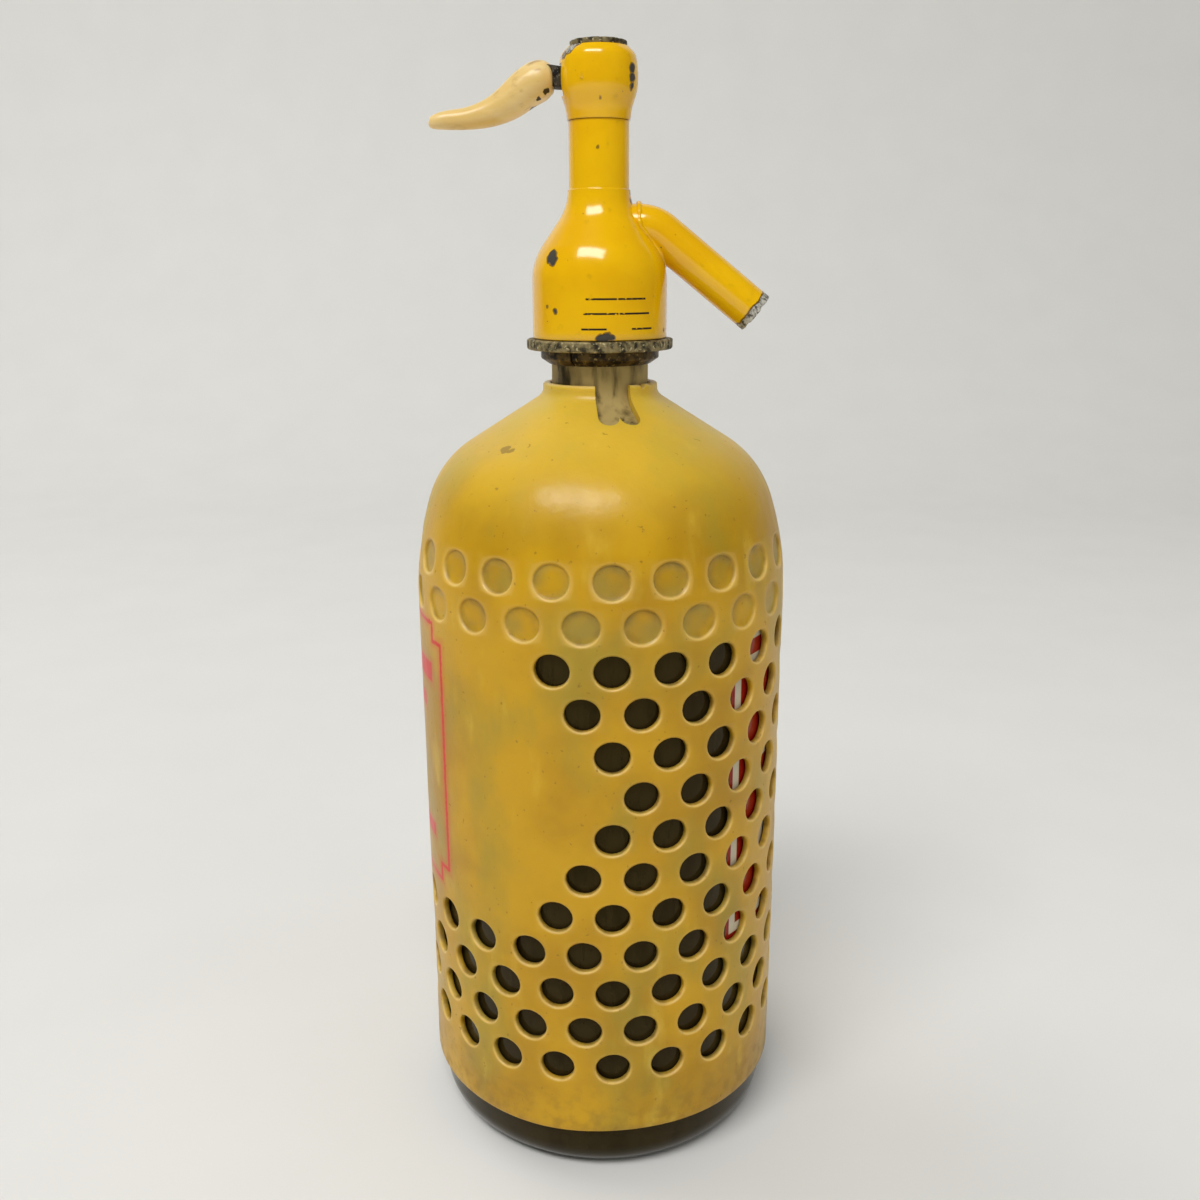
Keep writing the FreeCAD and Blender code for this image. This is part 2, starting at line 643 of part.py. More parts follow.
def link(first, second, width):
    """Return a flat link whose side outline wraps two circles, given as x, z and radius."""
    x1, z1, r1 = first
    x2, z2, r2 = second
    span = math.hypot(x2 - x1, z2 - z1)
    heading = math.atan2(z2 - z1, x2 - x1)
    lean = math.acos((r1 - r2) / span)
    corners = []
    for side in (1, -1):
        turn = heading + side * lean
        step = Vector(math.cos(turn), 0, math.sin(turn))
        corners.append((at(x1, z1) + step * r1, at(x2, z2) + step * r2))
    (top1, top2), (low1, low2) = corners
    back = at(x1, z1) - Vector(math.cos(heading), 0, math.sin(heading)) * r1
    front = at(x2, z2) + Vector(math.cos(heading), 0, math.sin(heading)) * r2
    edges = [line(top1, top2), Part.Arc(top2, front, low2).toShape()]
    edges += [line(low2, low1), Part.Arc(low1, back, top1).toShape()]
    face = Part.Face(Part.Wire(edges))
    face.translate(Vector(0, -width / 2, 0))
    return face.extrude(Vector(0, width, 0))


def tang(gap):
    """Return the part of the arm that is hidden in the grip, widened by a gap."""
    chain = [arm_neck()]
    chain += [(*grip_point(*station), radius) for station, radius in zip(TANG_STATIONS, TANG_RADII)]
    solid = None
    for first, second in zip(chain, chain[1:]):
        wide_first = (first[0], first[1], first[2] + gap)
        wide_second = (second[0], second[1], second[2] + gap)
        piece = link(wide_first, wide_second, TANG_WIDTH + 2 * gap)
        solid = piece if solid is None else solid.fuse(piece)
    return solid


def arm_bar(gap):
    """Return the bar between the pivot and the grip, widened by a gap."""
    boss = (PIVOT_X, PIVOT_Z, ARM_BOSS_R + gap)
    neck_x, neck_z, neck_r = arm_neck()
    return link(boss, (neck_x, neck_z, neck_r + gap), ARM_WIDTH + 2 * gap)


def lever_arm():
    """Return the lever's metal arm: forked nose, pivot boss, bar and tang."""
    boss = (PIVOT_X, PIVOT_Z, ARM_BOSS_R)
    nose = link(boss, (0.0, NOSE_Z, NOSE_R), ARM_WIDTH)
    arm = arm_bar(0.0).fuse([nose, tang(0.0)]).removeSplitter()
    slot_half = STEM_R + FORK_GAP
    slot_low = NOSE_Z - 3 * ARM_BOSS_R
    corner = Vector(-slot_half - FORK_GAP, -slot_half, slot_low)
    slot = Part.makeBox(3 * STEM_R + 2 * NOSE_R, 2 * slot_half, 6 * ARM_BOSS_R, corner)
    hole = Part.makeCylinder(
        PIN_R + STEM_GAP, 2 * ARM_WIDTH, Vector(PIVOT_X, ARM_WIDTH, PIVOT_Z), Vector(0, -1, 0)
    )
    return arm.cut([slot, hole])


def lever_grip():
    """Return the horn-shaped grip, lofted through oval sections and hollowed for the tang."""
    sections = []
    middles = [at(*grip_point(along, drop)) for along, drop, _ in GRIP_STATIONS]
    for index, (_, _, share) in enumerate(GRIP_STATIONS):
        before = middles[max(index - 1, 0)]
        after = middles[min(index + 1, len(middles) - 1)]
        heading = (after - before).normalize()
        half = share * GRIP_THICKNESS / 2
        oval = Part.Ellipse(Vector(0, 0, 0), half * GRIP_FLATTENING, half)
        frame = FreeCAD.Rotation(Vector(0, 1, 0), heading.cross(Vector(0, 1, 0)), heading, "XYZ")
        wire = Part.Wire(oval.toShape())
        wire.Placement = FreeCAD.Placement(middles[index], frame)
        sections.append(wire)
    horn = Part.makeLoft(sections, True, False)
    return horn.cut([tang(TANG_GAP), arm_bar(TANG_GAP)])


def build():
    """Return each named piece of the siphon."""
    front_half, rear_half = split_collar()
    gasket = tube(BEAD_R, MOUTH_R + BEAD_FILLET, BEAD_TOP, CEILING_Z)
    washer = tube(VALVE_WASHER_R, STEM_R, SEAT_TOP, STEM_FLANGE_Z)
    washer_nut = tube(WASHER_NUT_R, STEM_R, SEAT_TOP - WASHER_NUT_HEIGHT, SEAT_TOP)
    packing = tube(NECK_BORE_R, STEM_R + STEM_GAP, CHAMBER_TOP, GLAND_LOW)
    spring_seat = tube(SPRING_SEAT_R, STEM_R, SPRING_SEAT_Z, SPRING_LOW)
    stem_nut = tube(STEM_NUT_R, STEM_R, STEM_NUT_Z, STEM_NUT_Z + STEM_NUT_HEIGHT)
    pin = Part.makeCylinder(PIN_R, PIN_LENGTH, Vector(PIVOT_X, PIN_LENGTH / 2, PIVOT_Z), Vector(0, -1, 0))
    return {
        "bottle": bottle(),
        "sleeve": sleeve(),
        "split_collar_front": front_half,
        "split_collar_rear": rear_half,
        "lock_ring": lock_ring(),
        "head_body": head_body(),
        "mouth_gasket": gasket,
        "tube_ferrule": tube_ferrule(),
        "dip_tube": dip_tube(),
        "valve_seat": valve_seat(),
        "packing_washer": packing,
        "gland_nut": gland_nut(),
        "lever_housing": lever_housing(),
        "housing_cap": housing_cap(),
        "pivot_pin": pin,
        "spout_tube": spout_tube(),
        "valve_stem": valve_stem(),
        "valve_washer": washer,
        "washer_nut": washer_nut,
        "spring_seat": spring_seat,
        "stem_nut": stem_nut,
        "valve_spring": spring(),
        "lever_arm": lever_arm(),
        "lever_grip": lever_grip(),
    }


os.makedirs("parts", exist_ok=True)
for name, shape in build().items():
    shape.exportStep(f"parts/{name}.step")
    print(name, shape.isValid(), len(shape.Solids), round(shape.Volume, 2))
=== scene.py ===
"""Looks of a lever-headed soda siphon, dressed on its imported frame.

Lengths are in millimetres until a mesh is made, and heights are counted from the foot. The lever
points to -X and the spout to +X. Azimuths are in degrees from -Y towards +X.
"""

import logging
import math
from dataclasses import dataclass, field
from enum import Enum
from typing import Callable

import bmesh
import bpy
import numpy as np
from mathutils import Euler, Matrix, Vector


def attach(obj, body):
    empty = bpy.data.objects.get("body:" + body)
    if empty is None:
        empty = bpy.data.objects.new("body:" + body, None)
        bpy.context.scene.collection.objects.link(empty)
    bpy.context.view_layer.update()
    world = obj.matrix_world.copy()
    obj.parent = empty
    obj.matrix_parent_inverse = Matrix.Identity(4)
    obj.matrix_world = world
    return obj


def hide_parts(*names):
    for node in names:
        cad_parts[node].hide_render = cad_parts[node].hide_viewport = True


MM = 0.001
# Steps in from a hole's rim that lie half way to its middle, and well past it, where points meet
HALF_WAY_IN = -2.4
ALL_THE_WAY_IN = -9.0
LOG = logging.getLogger("siphon")

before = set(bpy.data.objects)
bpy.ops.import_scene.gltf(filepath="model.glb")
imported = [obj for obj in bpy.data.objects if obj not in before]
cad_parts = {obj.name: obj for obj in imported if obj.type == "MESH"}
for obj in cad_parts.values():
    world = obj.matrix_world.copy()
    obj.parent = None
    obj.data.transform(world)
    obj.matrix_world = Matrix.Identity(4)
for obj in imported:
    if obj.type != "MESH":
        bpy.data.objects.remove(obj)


# Colours and node graphs


def srgb(text: str) -> tuple[float, float, float, float]:
    """Turn an sRGB hex colour into linear red, green, blue and alpha.

    Args:
        text: six hex digits, with or without a leading hash.

    Returns:
        The linear colour with an alpha of one.
    """
    digits = text.lstrip("#")
    linear = []
    for start in (0, 2, 4):
        value = int(digits[start:start + 2], 16) / 255.0
        linear.append(value / 12.92 if value <= 0.04045 else ((value + 0.055) / 1.055) ** 2.4)
    return linear[0], linear[1], linear[2], 1.0


class Graph:
    """The node graph of one material, which ends in a Principled shader."""

    def __init__(self, name: str) -> None:
        """Make an empty material with its output and shader.

        Args:
            name: the material's name.
        """
        self.material = bpy.data.materials.new(name)
        self.material.use_nodes = True
        self.tree = self.material.node_tree
        self.tree.nodes.clear()
        self.shader = self.add("ShaderNodeBsdfPrincipled")
        self.add("ShaderNodeOutputMaterial", links={"Surface": self.shader.outputs[0]})
        self.place = self.add("ShaderNodeTexCoord").outputs["Object"]

    def add(
        self,
        kind: str,
        settings: dict | None = None,
        values: dict | None = None,
        links: dict | None = None,
    ) -> bpy.types.Node:
        """Add a node with its settings, socket values and incoming links.

        Args:
            kind: the node's type name.
            settings: properties of the node.
            values: default values of its input sockets, by name or number.
            links: output sockets to plug into its input sockets.

        Returns:
            The new node.
        """
        node = self.tree.nodes.new(kind)
        for name, value in (settings or {}).items():
            setattr(node, name, value)
        for name, value in (values or {}).items():
            node.inputs[name].default_value = value
        for name, socket in (links or {}).items():
            self.tree.links.new(socket, node.inputs[name])
        return node

    def math(self, operation: str, *terms: object, clamp: bool = False) -> bpy.types.NodeSocket:
        """Return the result of a sum on sockets and plain numbers.

        Args:
            operation: the sum's name.
            terms: sockets or plain numbers.
            clamp: whether to keep the result between 0 and 1.

        Returns:
            The socket with the result.
        """
        node = self.add("ShaderNodeMath", {"operation": operation, "use_clamp": clamp})
        for index, term in enumerate(terms):
            if isinstance(term, (int, float)):
                node.inputs[index].default_value = term
            else:
                self.tree.links.new(term, node.inputs[index])
        return node.outputs[0]

    def times(self, first: object, second: object, clamp: bool = False) -> bpy.types.NodeSocket:
        """Return a product.

        Args:
            first: a socket or plain number.
            second: a socket or plain number.
            clamp: whether to keep the result between 0 and 1.

        Returns:
            The socket with the result.
        """
        return self.math("MULTIPLY", first, second, clamp=clamp)

    def plus(self, first: object, second: object) -> bpy.types.NodeSocket:
        """Return a sum.

        Args:
            first: a socket or plain number.
            second: a socket or plain number.

        Returns:
            The socket with the result.
        """
        return self.math("ADD", first, second)

    def minus(self, first: object, second: object, clamp: bool = False) -> bpy.types.NodeSocket:
        """Return a difference.

        Args:
            first: a socket or plain number.
            second: a socket or plain number.
            clamp: whether to keep the result between 0 and 1.

        Returns:
            The socket with the result.
        """
        return self.math("SUBTRACT", first, second, clamp=clamp)

    def higher(self, first: object, second: object) -> bpy.types.NodeSocket:
        """Return the greater of two values.

        Args:
            first: a socket or plain number.
            second: a socket or plain number.

        Returns:
            The socket with the result.
        """
        return self.math("MAXIMUM", first, second)

    def lower(self, first: object, second: object) -> bpy.types.NodeSocket:
        """Return the lesser of two values.

        Args:
            first: a socket or plain number.
            second: a socket or plain number.

        Returns:
            The socket with the result.
        """
        return self.math("MINIMUM", first, second)

    def span(self, value: object) -> bpy.types.NodeSocket:
        """Return a value without its sign.

        Args:
            value: a socket with the value.

        Returns:
            The socket with the result.
        """
        return self.math("ABSOLUTE", value)

    def height(self) -> bpy.types.NodeSocket:
        """Return the height above the foot in mm.

        Returns:
            The socket with the result.
        """
        return self.times(self.axes()[2], 1.0 / MM)

    def ramp(self, value: object, low: float, high: float) -> bpy.types.NodeSocket:
        """Return a smooth step of a value, which goes from 0 at low to 1 at high.

        Args:
            value: a socket with the value.
            low: the value that gives 0.
            high: the value that gives 1.

        Returns:
            The socket with the result.
        """
        return self.add(
            "ShaderNodeMapRange",
            {"interpolation_type": "SMOOTHSTEP"},
            {"From Min": low, "From Max": high},
            {"Value": value},
        ).outputs[0]

    def noise(self, size_mm: float, detail: float = 3.0, stretch: tuple = (1, 1, 1)) -> bpy.types.Node:
        """Return a noise whose blotches are about size_mm across, squeezed along the axes by stretch.

        Args:
            size_mm: the size of the noise's blotches.
            detail: how many finer layers the noise has.
            stretch: how much it is squeezed along each axis.

        Returns:
            The noise node.
        """
        spread = self.add("ShaderNodeMapping", values={"Scale": stretch}, links={"Vector": self.place})
        values = {"Scale": 1.0 / (size_mm * MM), "Detail": detail}
        return self.add("ShaderNodeTexNoise", values=values, links={"Vector": spread.outputs[0]})

    def blend(self, factor: object, under: object, over: object) -> bpy.types.NodeSocket:
        """Return the colour under, covered by the colour over where the factor is one.

        Args:
            factor: how much of the upper colour shows.
            under: the lower colour.
            over: the upper colour.

        Returns:
            The colour's socket.
        """
        mix = self.add("ShaderNodeMix", {"data_type": "RGBA"}, links={0: factor})
        for index, colour in ((6, under), (7, over)):
            if isinstance(colour, tuple):
                mix.inputs[index].default_value = colour
            else:
                self.tree.links.new(colour, mix.inputs[index])
        return mix.outputs[2]

    def shade(self, **sockets: object) -> None:
        """Plug sockets or plain values into the shader, with underscores for spaces in the names.

        Args:
            sockets: the shader's sockets by name.
        """
        for name, value in sockets.items():
            socket = self.shader.inputs[name.replace("_", " ")]
            if isinstance(value, bpy.types.NodeSocket):
                self.tree.links.new(value, socket)
            else:
                socket.default_value = value

    def relief(self, height: object, depth_mm: float) -> None:
        """Bump the surface by a height of 0 to 1 that stands for depth_mm.

        Args:
            height: a socket from 0 to 1.
            depth_mm: the depth of the relief.
        """
        bump = self.add(
            "ShaderNodeBump", values={"Distance": depth_mm * MM, "Strength": 1.0}, links={"Height": height}
        )
        self.tree.links.new(bump.outputs[0], self.shader.inputs["Normal"])

    def warped(self, size_mm: float, reach_mm: float) -> bpy.types.NodeSocket:
        """Return the place on the object, shifted by noise so that outlines on it turn ragged.

        Args:
            size_mm: the size of the noise's blotches.
            reach_mm: the furthest shift.

        Returns:
            The socket with the result.
        """
        noise = self.noise(size_mm, 4.0)
        centred = self.add(
            "ShaderNodeVectorMath",
            {"operation": "SUBTRACT"},
            {1: (0.5, 0.5, 0.5)},
            {0: noise.outputs["Color"]},
        )
        shift = self.add(
            "ShaderNodeVectorMath",
            {"operation": "SCALE"},
            {"Scale": 2.0 * reach_mm * MM},
            {0: centred.outputs[0]},
        )
        return self.add(
            "ShaderNodeVectorMath",
            {"operation": "ADD"},
            links={0: self.place, 1: shift.outputs[0]},
        ).outputs[0]

    def spots(self, centres: list, ragged: bpy.types.NodeSocket, grow: float = 0.0) -> object:
        """Return a mask that is one inside any of some spots, given by x, y, z and radius.

        Args:
            centres: x, y, z and radius of each spot, in mm.
            ragged: the place to measure from, with its ragged shift.
            grow: how much larger to make the spots, in mm.

        Returns:
            The mask's socket.
        """
        mask: object = 0.0
        for x, y, z, radius in centres:
            gap = self.add(
                "ShaderNodeVectorMath",
                {"operation": "DISTANCE"},
                {1: (x * MM, y * MM, z * MM)},
                {0: ragged},
            ).outputs["Value"]
            edge = (radius + grow) * MM
            mask = self.higher(mask, self.ramp(gap, edge, edge - 0.25 * MM))
        return mask

    def axes(self) -> tuple:
        """Return the X, Y and Z sockets of the place on the object, in metres.

        Returns:
            The three sockets.
        """
        split = self.add("ShaderNodeSeparateXYZ", links={0: self.place})
        return split.outputs[0], split.outputs[1], split.outputs[2]

    def arc(self, centre: float, radius_mm: float) -> bpy.types.NodeSocket:
        """Return the way round the axis in mm at a radius, counted from an azimuth in degrees.

        Args:
            centre: the azimuth to count from, in degrees.
            radius_mm: the radius to measure at.

        Returns:
            The socket with the result.
        """
        x, y, _ = self.axes()
        turn = math.radians(centre)
        across = self.plus(
            self.times(x, math.cos(turn)), self.times(y, math.sin(turn))
        )
        along = self.minus(
            self.times(x, math.sin(turn)), self.times(y, math.cos(turn))
        )
        return self.times(self.math("ARCTAN2", across, along), radius_mm)


# Finishes


@dataclass(frozen=True)
class MouldedPolyethylene:
    """Soft polyethylene, injection moulded: waxy, a little see-through, grimy where hands hold it."""

    body: str = "#C89A08"
    deep: str = "#B08404"
    olive: str = "#95882E"
    # Light yellow for pale scuffs, and for the painted highlight on the shoulder's top.
    pale_and_highlight: str = "#DDBC44"
    # Colour of the painted highlight on the rounded rims that face up.
    rim: str = "#DDBC6C"
    # Darker olive for the painted shade on dimple floors and hole walls, where the dark glass shows
    # through.
    see_through_shade: str = "#988438"
    # Dark brown for hand grime and specks, and for the painted shade in the hole walls and dimple slopes.
    grime: str = "#5E431A"
    ink: str = "#D01400"
    smudges: tuple = ((-24.5, -24.6, 203.6, 2.0), (-22.8, -26.4, 203.2, 1.4), (-3.5, -48.0, 178.5, 0.7))
    panel_azimuth: float = -99.8
    panel_z: float = 118.5
    panel_half: tuple = (40.0, 38.5)
    notch: float = 5.0
    radius: float = 52.5

    def printed(self, graph: Graph) -> tuple:
        """Return masks of the printed frame's line and of its blurred edge.

        The frame is a rectangle with square bites out of its corners. Its outline lies where the
        lesser of two boxes' distances is zero, and two plain bars fill its inside.

        Args:
            graph: the graph to add to.

        Returns:
            The line's mask and the blur's mask.
        """
        across = graph.span(graph.arc(self.panel_azimuth, self.radius))
        height = graph.minus(graph.height(), self.panel_z)
        up = graph.span(height)
        wide, tall = self.panel_half
        boxes = []
        for half_u, half_v in ((wide - self.notch, tall), (wide, tall - self.notch)):
            u = graph.minus(across, half_u)
            v = graph.minus(up, half_v)
            boxes.append(graph.higher(u, v))
        edge = graph.span(graph.lower(boxes[0], boxes[1]))
        for bar_z, bar_half, bar_thick in ((24.0, 33.0, 2.2), (14.0, 26.0, 1.4), (-25.0, 30.0, 1.4)):
            u = graph.minus(across, bar_half)
            gap = graph.span(graph.minus(height, bar_z))
            v = graph.minus(gap, bar_thick)
            edge = graph.lower(edge, graph.higher(graph.higher(u, v), 0.0))
        wear = graph.times(graph.noise(1.2).outputs[0], 0.9)
        line = graph.ramp(graph.plus(edge, wear), 1.35, 0.75)
        blur = graph.times(graph.ramp(edge, 3.4, 0.6), 0.28)
        return line, blur

    def material(self) -> bpy.types.Material:
        """Return the sleeve's material.

        Returns:
            The material.
        """
        graph = Graph("moulded_polyethylene")
        height = graph.height()
        cloud = graph.noise(34.0, 4.0).outputs[0]
        colour = graph.blend(graph.ramp(cloud, 0.38, 0.66), srgb(self.body), srgb(self.deep))
        haze = graph.noise(22.0, 5.0, (1.0, 1.0, 0.6)).outputs[0]
        colour = graph.blend(graph.times(graph.ramp(haze, 0.48, 0.72), 0.55), colour, srgb(self.olive))
        # Painted highlight: the shoulder turns paler towards its top, where the light from above falls on
        # it.
        upper = graph.times(graph.ramp(height, 176.0, 214.0), 0.6)
        colour = graph.blend(upper, colour, srgb(self.pale_and_highlight))
        smear = graph.noise(9.0, 6.0, (1.0, 1.0, 0.35)).outputs[0]
        colour = graph.blend(graph.times(graph.ramp(smear, 0.58, 0.8), 0.5), colour, srgb(self.pale_and_highlight))
        # Painted highlight: the rounded rims of holes, dimples and edges turn paler where they face up
        # towards the light.
        rim = graph.add("ShaderNodeAttribute", {"attribute_name": "rim"}).outputs["Fac"]
        facing = graph.add("ShaderNodeNewGeometry").outputs["Normal"]
        upward = graph.add("ShaderNodeSeparateXYZ", links={0: facing}).outputs[2]
        rim = graph.times(rim, graph.plus(graph.ramp(upward, -0.2, 0.45), 0.08), clamp=True)
        # Painted shade in the recesses: the hole walls and dimple slopes turn darker, broken up by noise.
        # Near the foot the sleeve also turns darker towards the bottom, in patches.
        patchy_noise = graph.noise(4.0, 6.0).outputs[0]
        well = graph.add("ShaderNodeAttribute", {"attribute_name": "well"}).outputs["Fac"]
        recess_shade = graph.times(graph.ramp(patchy_noise, 0.35, 0.75), graph.times(well, 0.75))
        low = graph.times(graph.ramp(height, 40.0, 14.0), graph.ramp(patchy_noise, 0.42, 0.7))
        speck = graph.ramp(graph.noise(1.6, 2.0).outputs[0], 0.69, 0.76)
        soil_and_recess_shade = graph.higher(recess_shade, graph.times(low, 0.3))
        soil_and_recess_shade = graph.higher(soil_and_recess_shade, graph.times(speck, 0.45))
        line, blur = self.printed(graph)
        colour = graph.blend(blur, colour, srgb(self.ink))
        colour = graph.blend(line, colour, srgb(self.ink))
        # Painted shade: the dimple floors and hole walls turn darker olive, standing for the dark glass
        # seen through the thin plastic.
        floor = graph.add("ShaderNodeAttribute", {"attribute_name": "floor"}).outputs["Fac"]
        see_through_shade = graph.times(floor, graph.ramp(graph.noise(14.0, 2.0).outputs[0], 0.35, 0.65))
        colour = graph.blend(graph.times(see_through_shade, 0.75), colour, srgb(self.see_through_shade))
        # Painted rim highlight.
        colour = graph.blend(graph.times(rim, 0.85), colour, srgb(self.rim))
        # Painted shade in the recesses, the darkening towards the bottom and the specks, all in dark brown.
        colour = graph.blend(soil_and_recess_shade, colour, srgb(self.grime))
        smudge = graph.spots(list(self.smudges), graph.warped(3.0, 1.6))
        colour = graph.blend(graph.times(smudge, 0.55), colour, srgb(self.grime))
        grain = graph.noise(0.9, 3.0).outputs[0]
        rough = graph.plus(graph.times(smear, 0.24), 0.22)
        graph.shade(
            Base_Color=colour,
            Roughness=graph.plus(rough, graph.times(soil_and_recess_shade, 0.3)),
            IOR=1.51,
            Specular_IOR_Level=0.35,
            Subsurface_Weight=0.35,
            Subsurface_Radius=(1.0, 0.62, 0.12),
            Subsurface_Scale=2.2 * MM,
        )
        wave = graph.plus(graph.times(grain, 0.12), graph.noise(7.0, 2.0).outputs[0])
        graph.relief(wave, 0.22)
        return graph.material


@dataclass(frozen=True)
class BottleGlass:
    """Thick dark-green bottle glass, blown in a mould: glossy, and nearly black, its own dark green
    deepened by painted shade.
    """

    # Nearly black: partly the glass's own dark green, partly painted shade of dark surroundings seen
    # through it.
    tint: str = "#120E04"
    dust: str = "#A8925C"
    panel: str = "#8E1610"
    border: str = "#C9C0A8"
    panel_azimuth: float = 96.0
    radius: float = 50.2
    panel_half: float = 46.0
    panel_low: float = 66.0
    panel_high: float = 158.0

    def material(self) -> bpy.types.Material:
        """Return the bottle's material.

        Returns:
            The material.
        """
        graph = Graph("bottle_glass")
        height = graph.height()
        cloud = graph.noise(6.0, 5.0, (1.0, 1.0, 0.4)).outputs[0]
        neck = graph.times(graph.ramp(height, 190.0, 204.0), 0.95)
        streaks = graph.noise(2.2, 5.0, (1.0, 1.0, 0.15)).outputs[0]
        soiled = graph.times(graph.ramp(cloud, 0.2, 0.55), graph.ramp(streaks, 0.15, 0.5))
        dust = graph.times(soiled, graph.plus(neck, 0.05))
        colour = graph.blend(dust, srgb(self.tint), srgb(self.dust))
        across = graph.span(graph.arc(self.panel_azimuth, self.radius))
        middle = (self.panel_low + self.panel_high) / 2
        up = graph.span(graph.minus(height, middle))
        half = (self.panel_high - self.panel_low) / 2
        u = graph.minus(across, self.panel_half)
        v = graph.minus(up, half)
        inside = graph.higher(u, v)
        printed = graph.ramp(inside, 0.2, -0.2)
        border = graph.ramp(graph.span(graph.plus(inside, 3.0)), 1.5, 1.2)
        for bar_z in (34.0, 8.0, -20.0):
            gap = graph.span(graph.minus(graph.minus(height, middle), bar_z))
            bar = graph.times(graph.ramp(gap, 3.4, 3.1), graph.ramp(u, -7.8, -8.2))
            border = graph.higher(border, bar)
        colour = graph.blend(printed, colour, graph.blend(border, srgb(self.panel), srgb(self.border)))
        clear = graph.minus(1.0, graph.higher(printed, dust), clamp=True)
        graph.shade(
            Base_Color=colour,
            Roughness=graph.plus(graph.times(dust, 0.55), 0.06),
            IOR=1.52,
            Specular_IOR_Level=0.3,
            Specular_Tint=srgb("#C9A860"),
            Transmission_Weight=graph.times(clear, 0.2),
        )
        graph.relief(cloud, 0.05)
        return graph.material


@dataclass(frozen=True)
class GlossPaint:
    """Stoved gloss enamel on cast metal: hard and shiny, with chips down to the dark casting."""

    paint: str = "#E8B400"
    warm: str = "#DEA400"
    bare: str = "#45423A"
    metal: str = "#C2BFB2"
    edge: str = "#6B4A12"
    ink: str = "#2A2016"
    chips: tuple = ()
    worn: tuple = ()
    cut: tuple = ()
    rules: tuple = ()
    seams: tuple = ()
    rule_radius: float = 18.3
    name: str = "gloss_paint"

    def material(self) -> bpy.types.Material:
        """Return the paint's material with its chips, seams and printed rules.

        Returns:
            The material.
        """
        graph = Graph(self.name)
        height = graph.height()
        cloud = graph.noise(16.0, 4.0).outputs[0]
        warmth = graph.times(graph.ramp(cloud, 0.4, 0.7), 0.6)
        colour = graph.blend(warmth, srgb(self.paint), srgb(self.warm))
        fine = graph.noise(1.1, 2.0).outputs[0]
        pits = graph.times(graph.ramp(fine, 0.745, 0.78), graph.ramp(cloud, 0.5, 0.56))
        ragged = graph.warped(2.4, 0.9)
        chipped = graph.higher(graph.spots(list(self.chips), ragged), pits)
        halo = graph.spots(list(self.chips), ragged, 0.35)
        for seam_z, strength in self.seams:
            gap = graph.span(graph.minus(height, seam_z))
            stain = graph.times(graph.ramp(gap, 0.4, 0.1), graph.ramp(cloud, 0.3, 0.62))
            halo = graph.higher(halo, graph.times(stain, strength))
        colour = graph.blend(graph.times(halo, 0.8), colour, srgb(self.edge))
        for azimuth, half_width, rule_z, gap_half in self.rules:
            across = graph.span(graph.arc(azimuth, self.rule_radius))
            level = graph.span(graph.minus(height, rule_z))
            ends = graph.ramp(across, half_width, half_width - 0.3)
            rule = graph.times(graph.ramp(level, 0.34, 0.18), ends)
            rule = graph.times(rule, graph.ramp(across, gap_half, gap_half + 0.3))
            rule = graph.times(rule, graph.ramp(fine, 0.3, 0.42))
            colour = graph.blend(rule, colour, srgb(self.ink))
        colour = graph.blend(chipped, colour, srgb(self.bare))
        bright = self.laid_bare(graph, ragged, 0.0)
        lip = self.laid_bare(graph, ragged, 0.45)
        colour = graph.blend(lip, colour, srgb(self.edge))
        crust = graph.ramp(graph.noise(0.8, 5.0).outputs[0], 0.38, 0.66)
        colour = graph.blend(bright, colour, graph.blend(crust, srgb(self.metal), srgb(self.bare)))
        chipped = graph.higher(chipped, bright)
        grime = graph.ramp(graph.noise(3.2, 5.0).outputs[0], 0.62, 0.8)
        colour = graph.blend(graph.times(grime, 0.22), colour, srgb(self.edge))
        graph.shade(
            Base_Color=colour,
            Metallic=graph.times(chipped, 0.2),
            Roughness=graph.plus(graph.times(chipped, 0.42), 0.16),
            Specular_IOR_Level=0.4,
            Coat_Weight=graph.minus(0.4, graph.times(chipped, 0.4)),
            Coat_Roughness=0.06,
        )
        peel = graph.times(graph.noise(5.0, 1.0).outputs[0], 0.1)
        graph.relief(graph.minus(peel, graph.times(chipped, 0.9)), 0.16)
        return graph.material

    def laid_bare(self, graph: Graph, ragged: bpy.types.NodeSocket, grow: float) -> object:
        """Return a mask of the pale bare metal: worn spots, and all that lies past a cut plane.

        Args:
            graph: the graph to add to.
            ragged: the place to measure from, with its ragged shift.
            grow: how much larger to make the spots, in mm.

        Returns:
            The mask's socket.
        """
        mask = graph.spots(list(self.worn), ragged, grow)
        for point, direction in self.cut:
            offset = graph.add(
                "ShaderNodeVectorMath",
                {"operation": "SUBTRACT"},
                {1: tuple(value * MM for value in point)},
                {0: ragged},
            ).outputs[0]
            along = graph.add(
                "ShaderNodeVectorMath", {"operation": "DOT_PRODUCT"}, {1: direction}, {0: offset}
            ).outputs["Value"]
            mask = graph.higher(mask, graph.ramp(along, -grow * MM, (0.3 - grow) * MM))
        return mask


@dataclass(frozen=True)
class WeatheredMetal:
    """A cast or turned metal gone dull: a grey or brown skin with darker blotches and bright flecks."""

    name: str
    skin: str
    dark: str
    bright: str
    roughness: float = 0.5
    metallic: float = 0.75
    blotch: float = 2.2
    depth: float = 0.18

    def material(self) -> bpy.types.Material:
        """Return the metal's material.

        Returns:
            The material.
        """
        graph = Graph(self.name)
        blotches = graph.noise(self.blotch, 6.0).outputs[0]
        colour = graph.blend(graph.ramp(blotches, 0.4, 0.62), srgb(self.skin), srgb(self.dark))
        flecks = graph.noise(self.blotch * 0.4, 4.0).outputs[0]
        colour = graph.blend(graph.ramp(flecks, 0.58, 0.7), colour, srgb(self.bright))
        graph.shade(
            Base_Color=colour,
            Metallic=self.metallic,
            Roughness=graph.plus(graph.times(blotches, 0.35), self.roughness - 0.17),
        )
        graph.relief(graph.plus(blotches, graph.times(flecks, 0.4)), self.depth)
        return graph.material


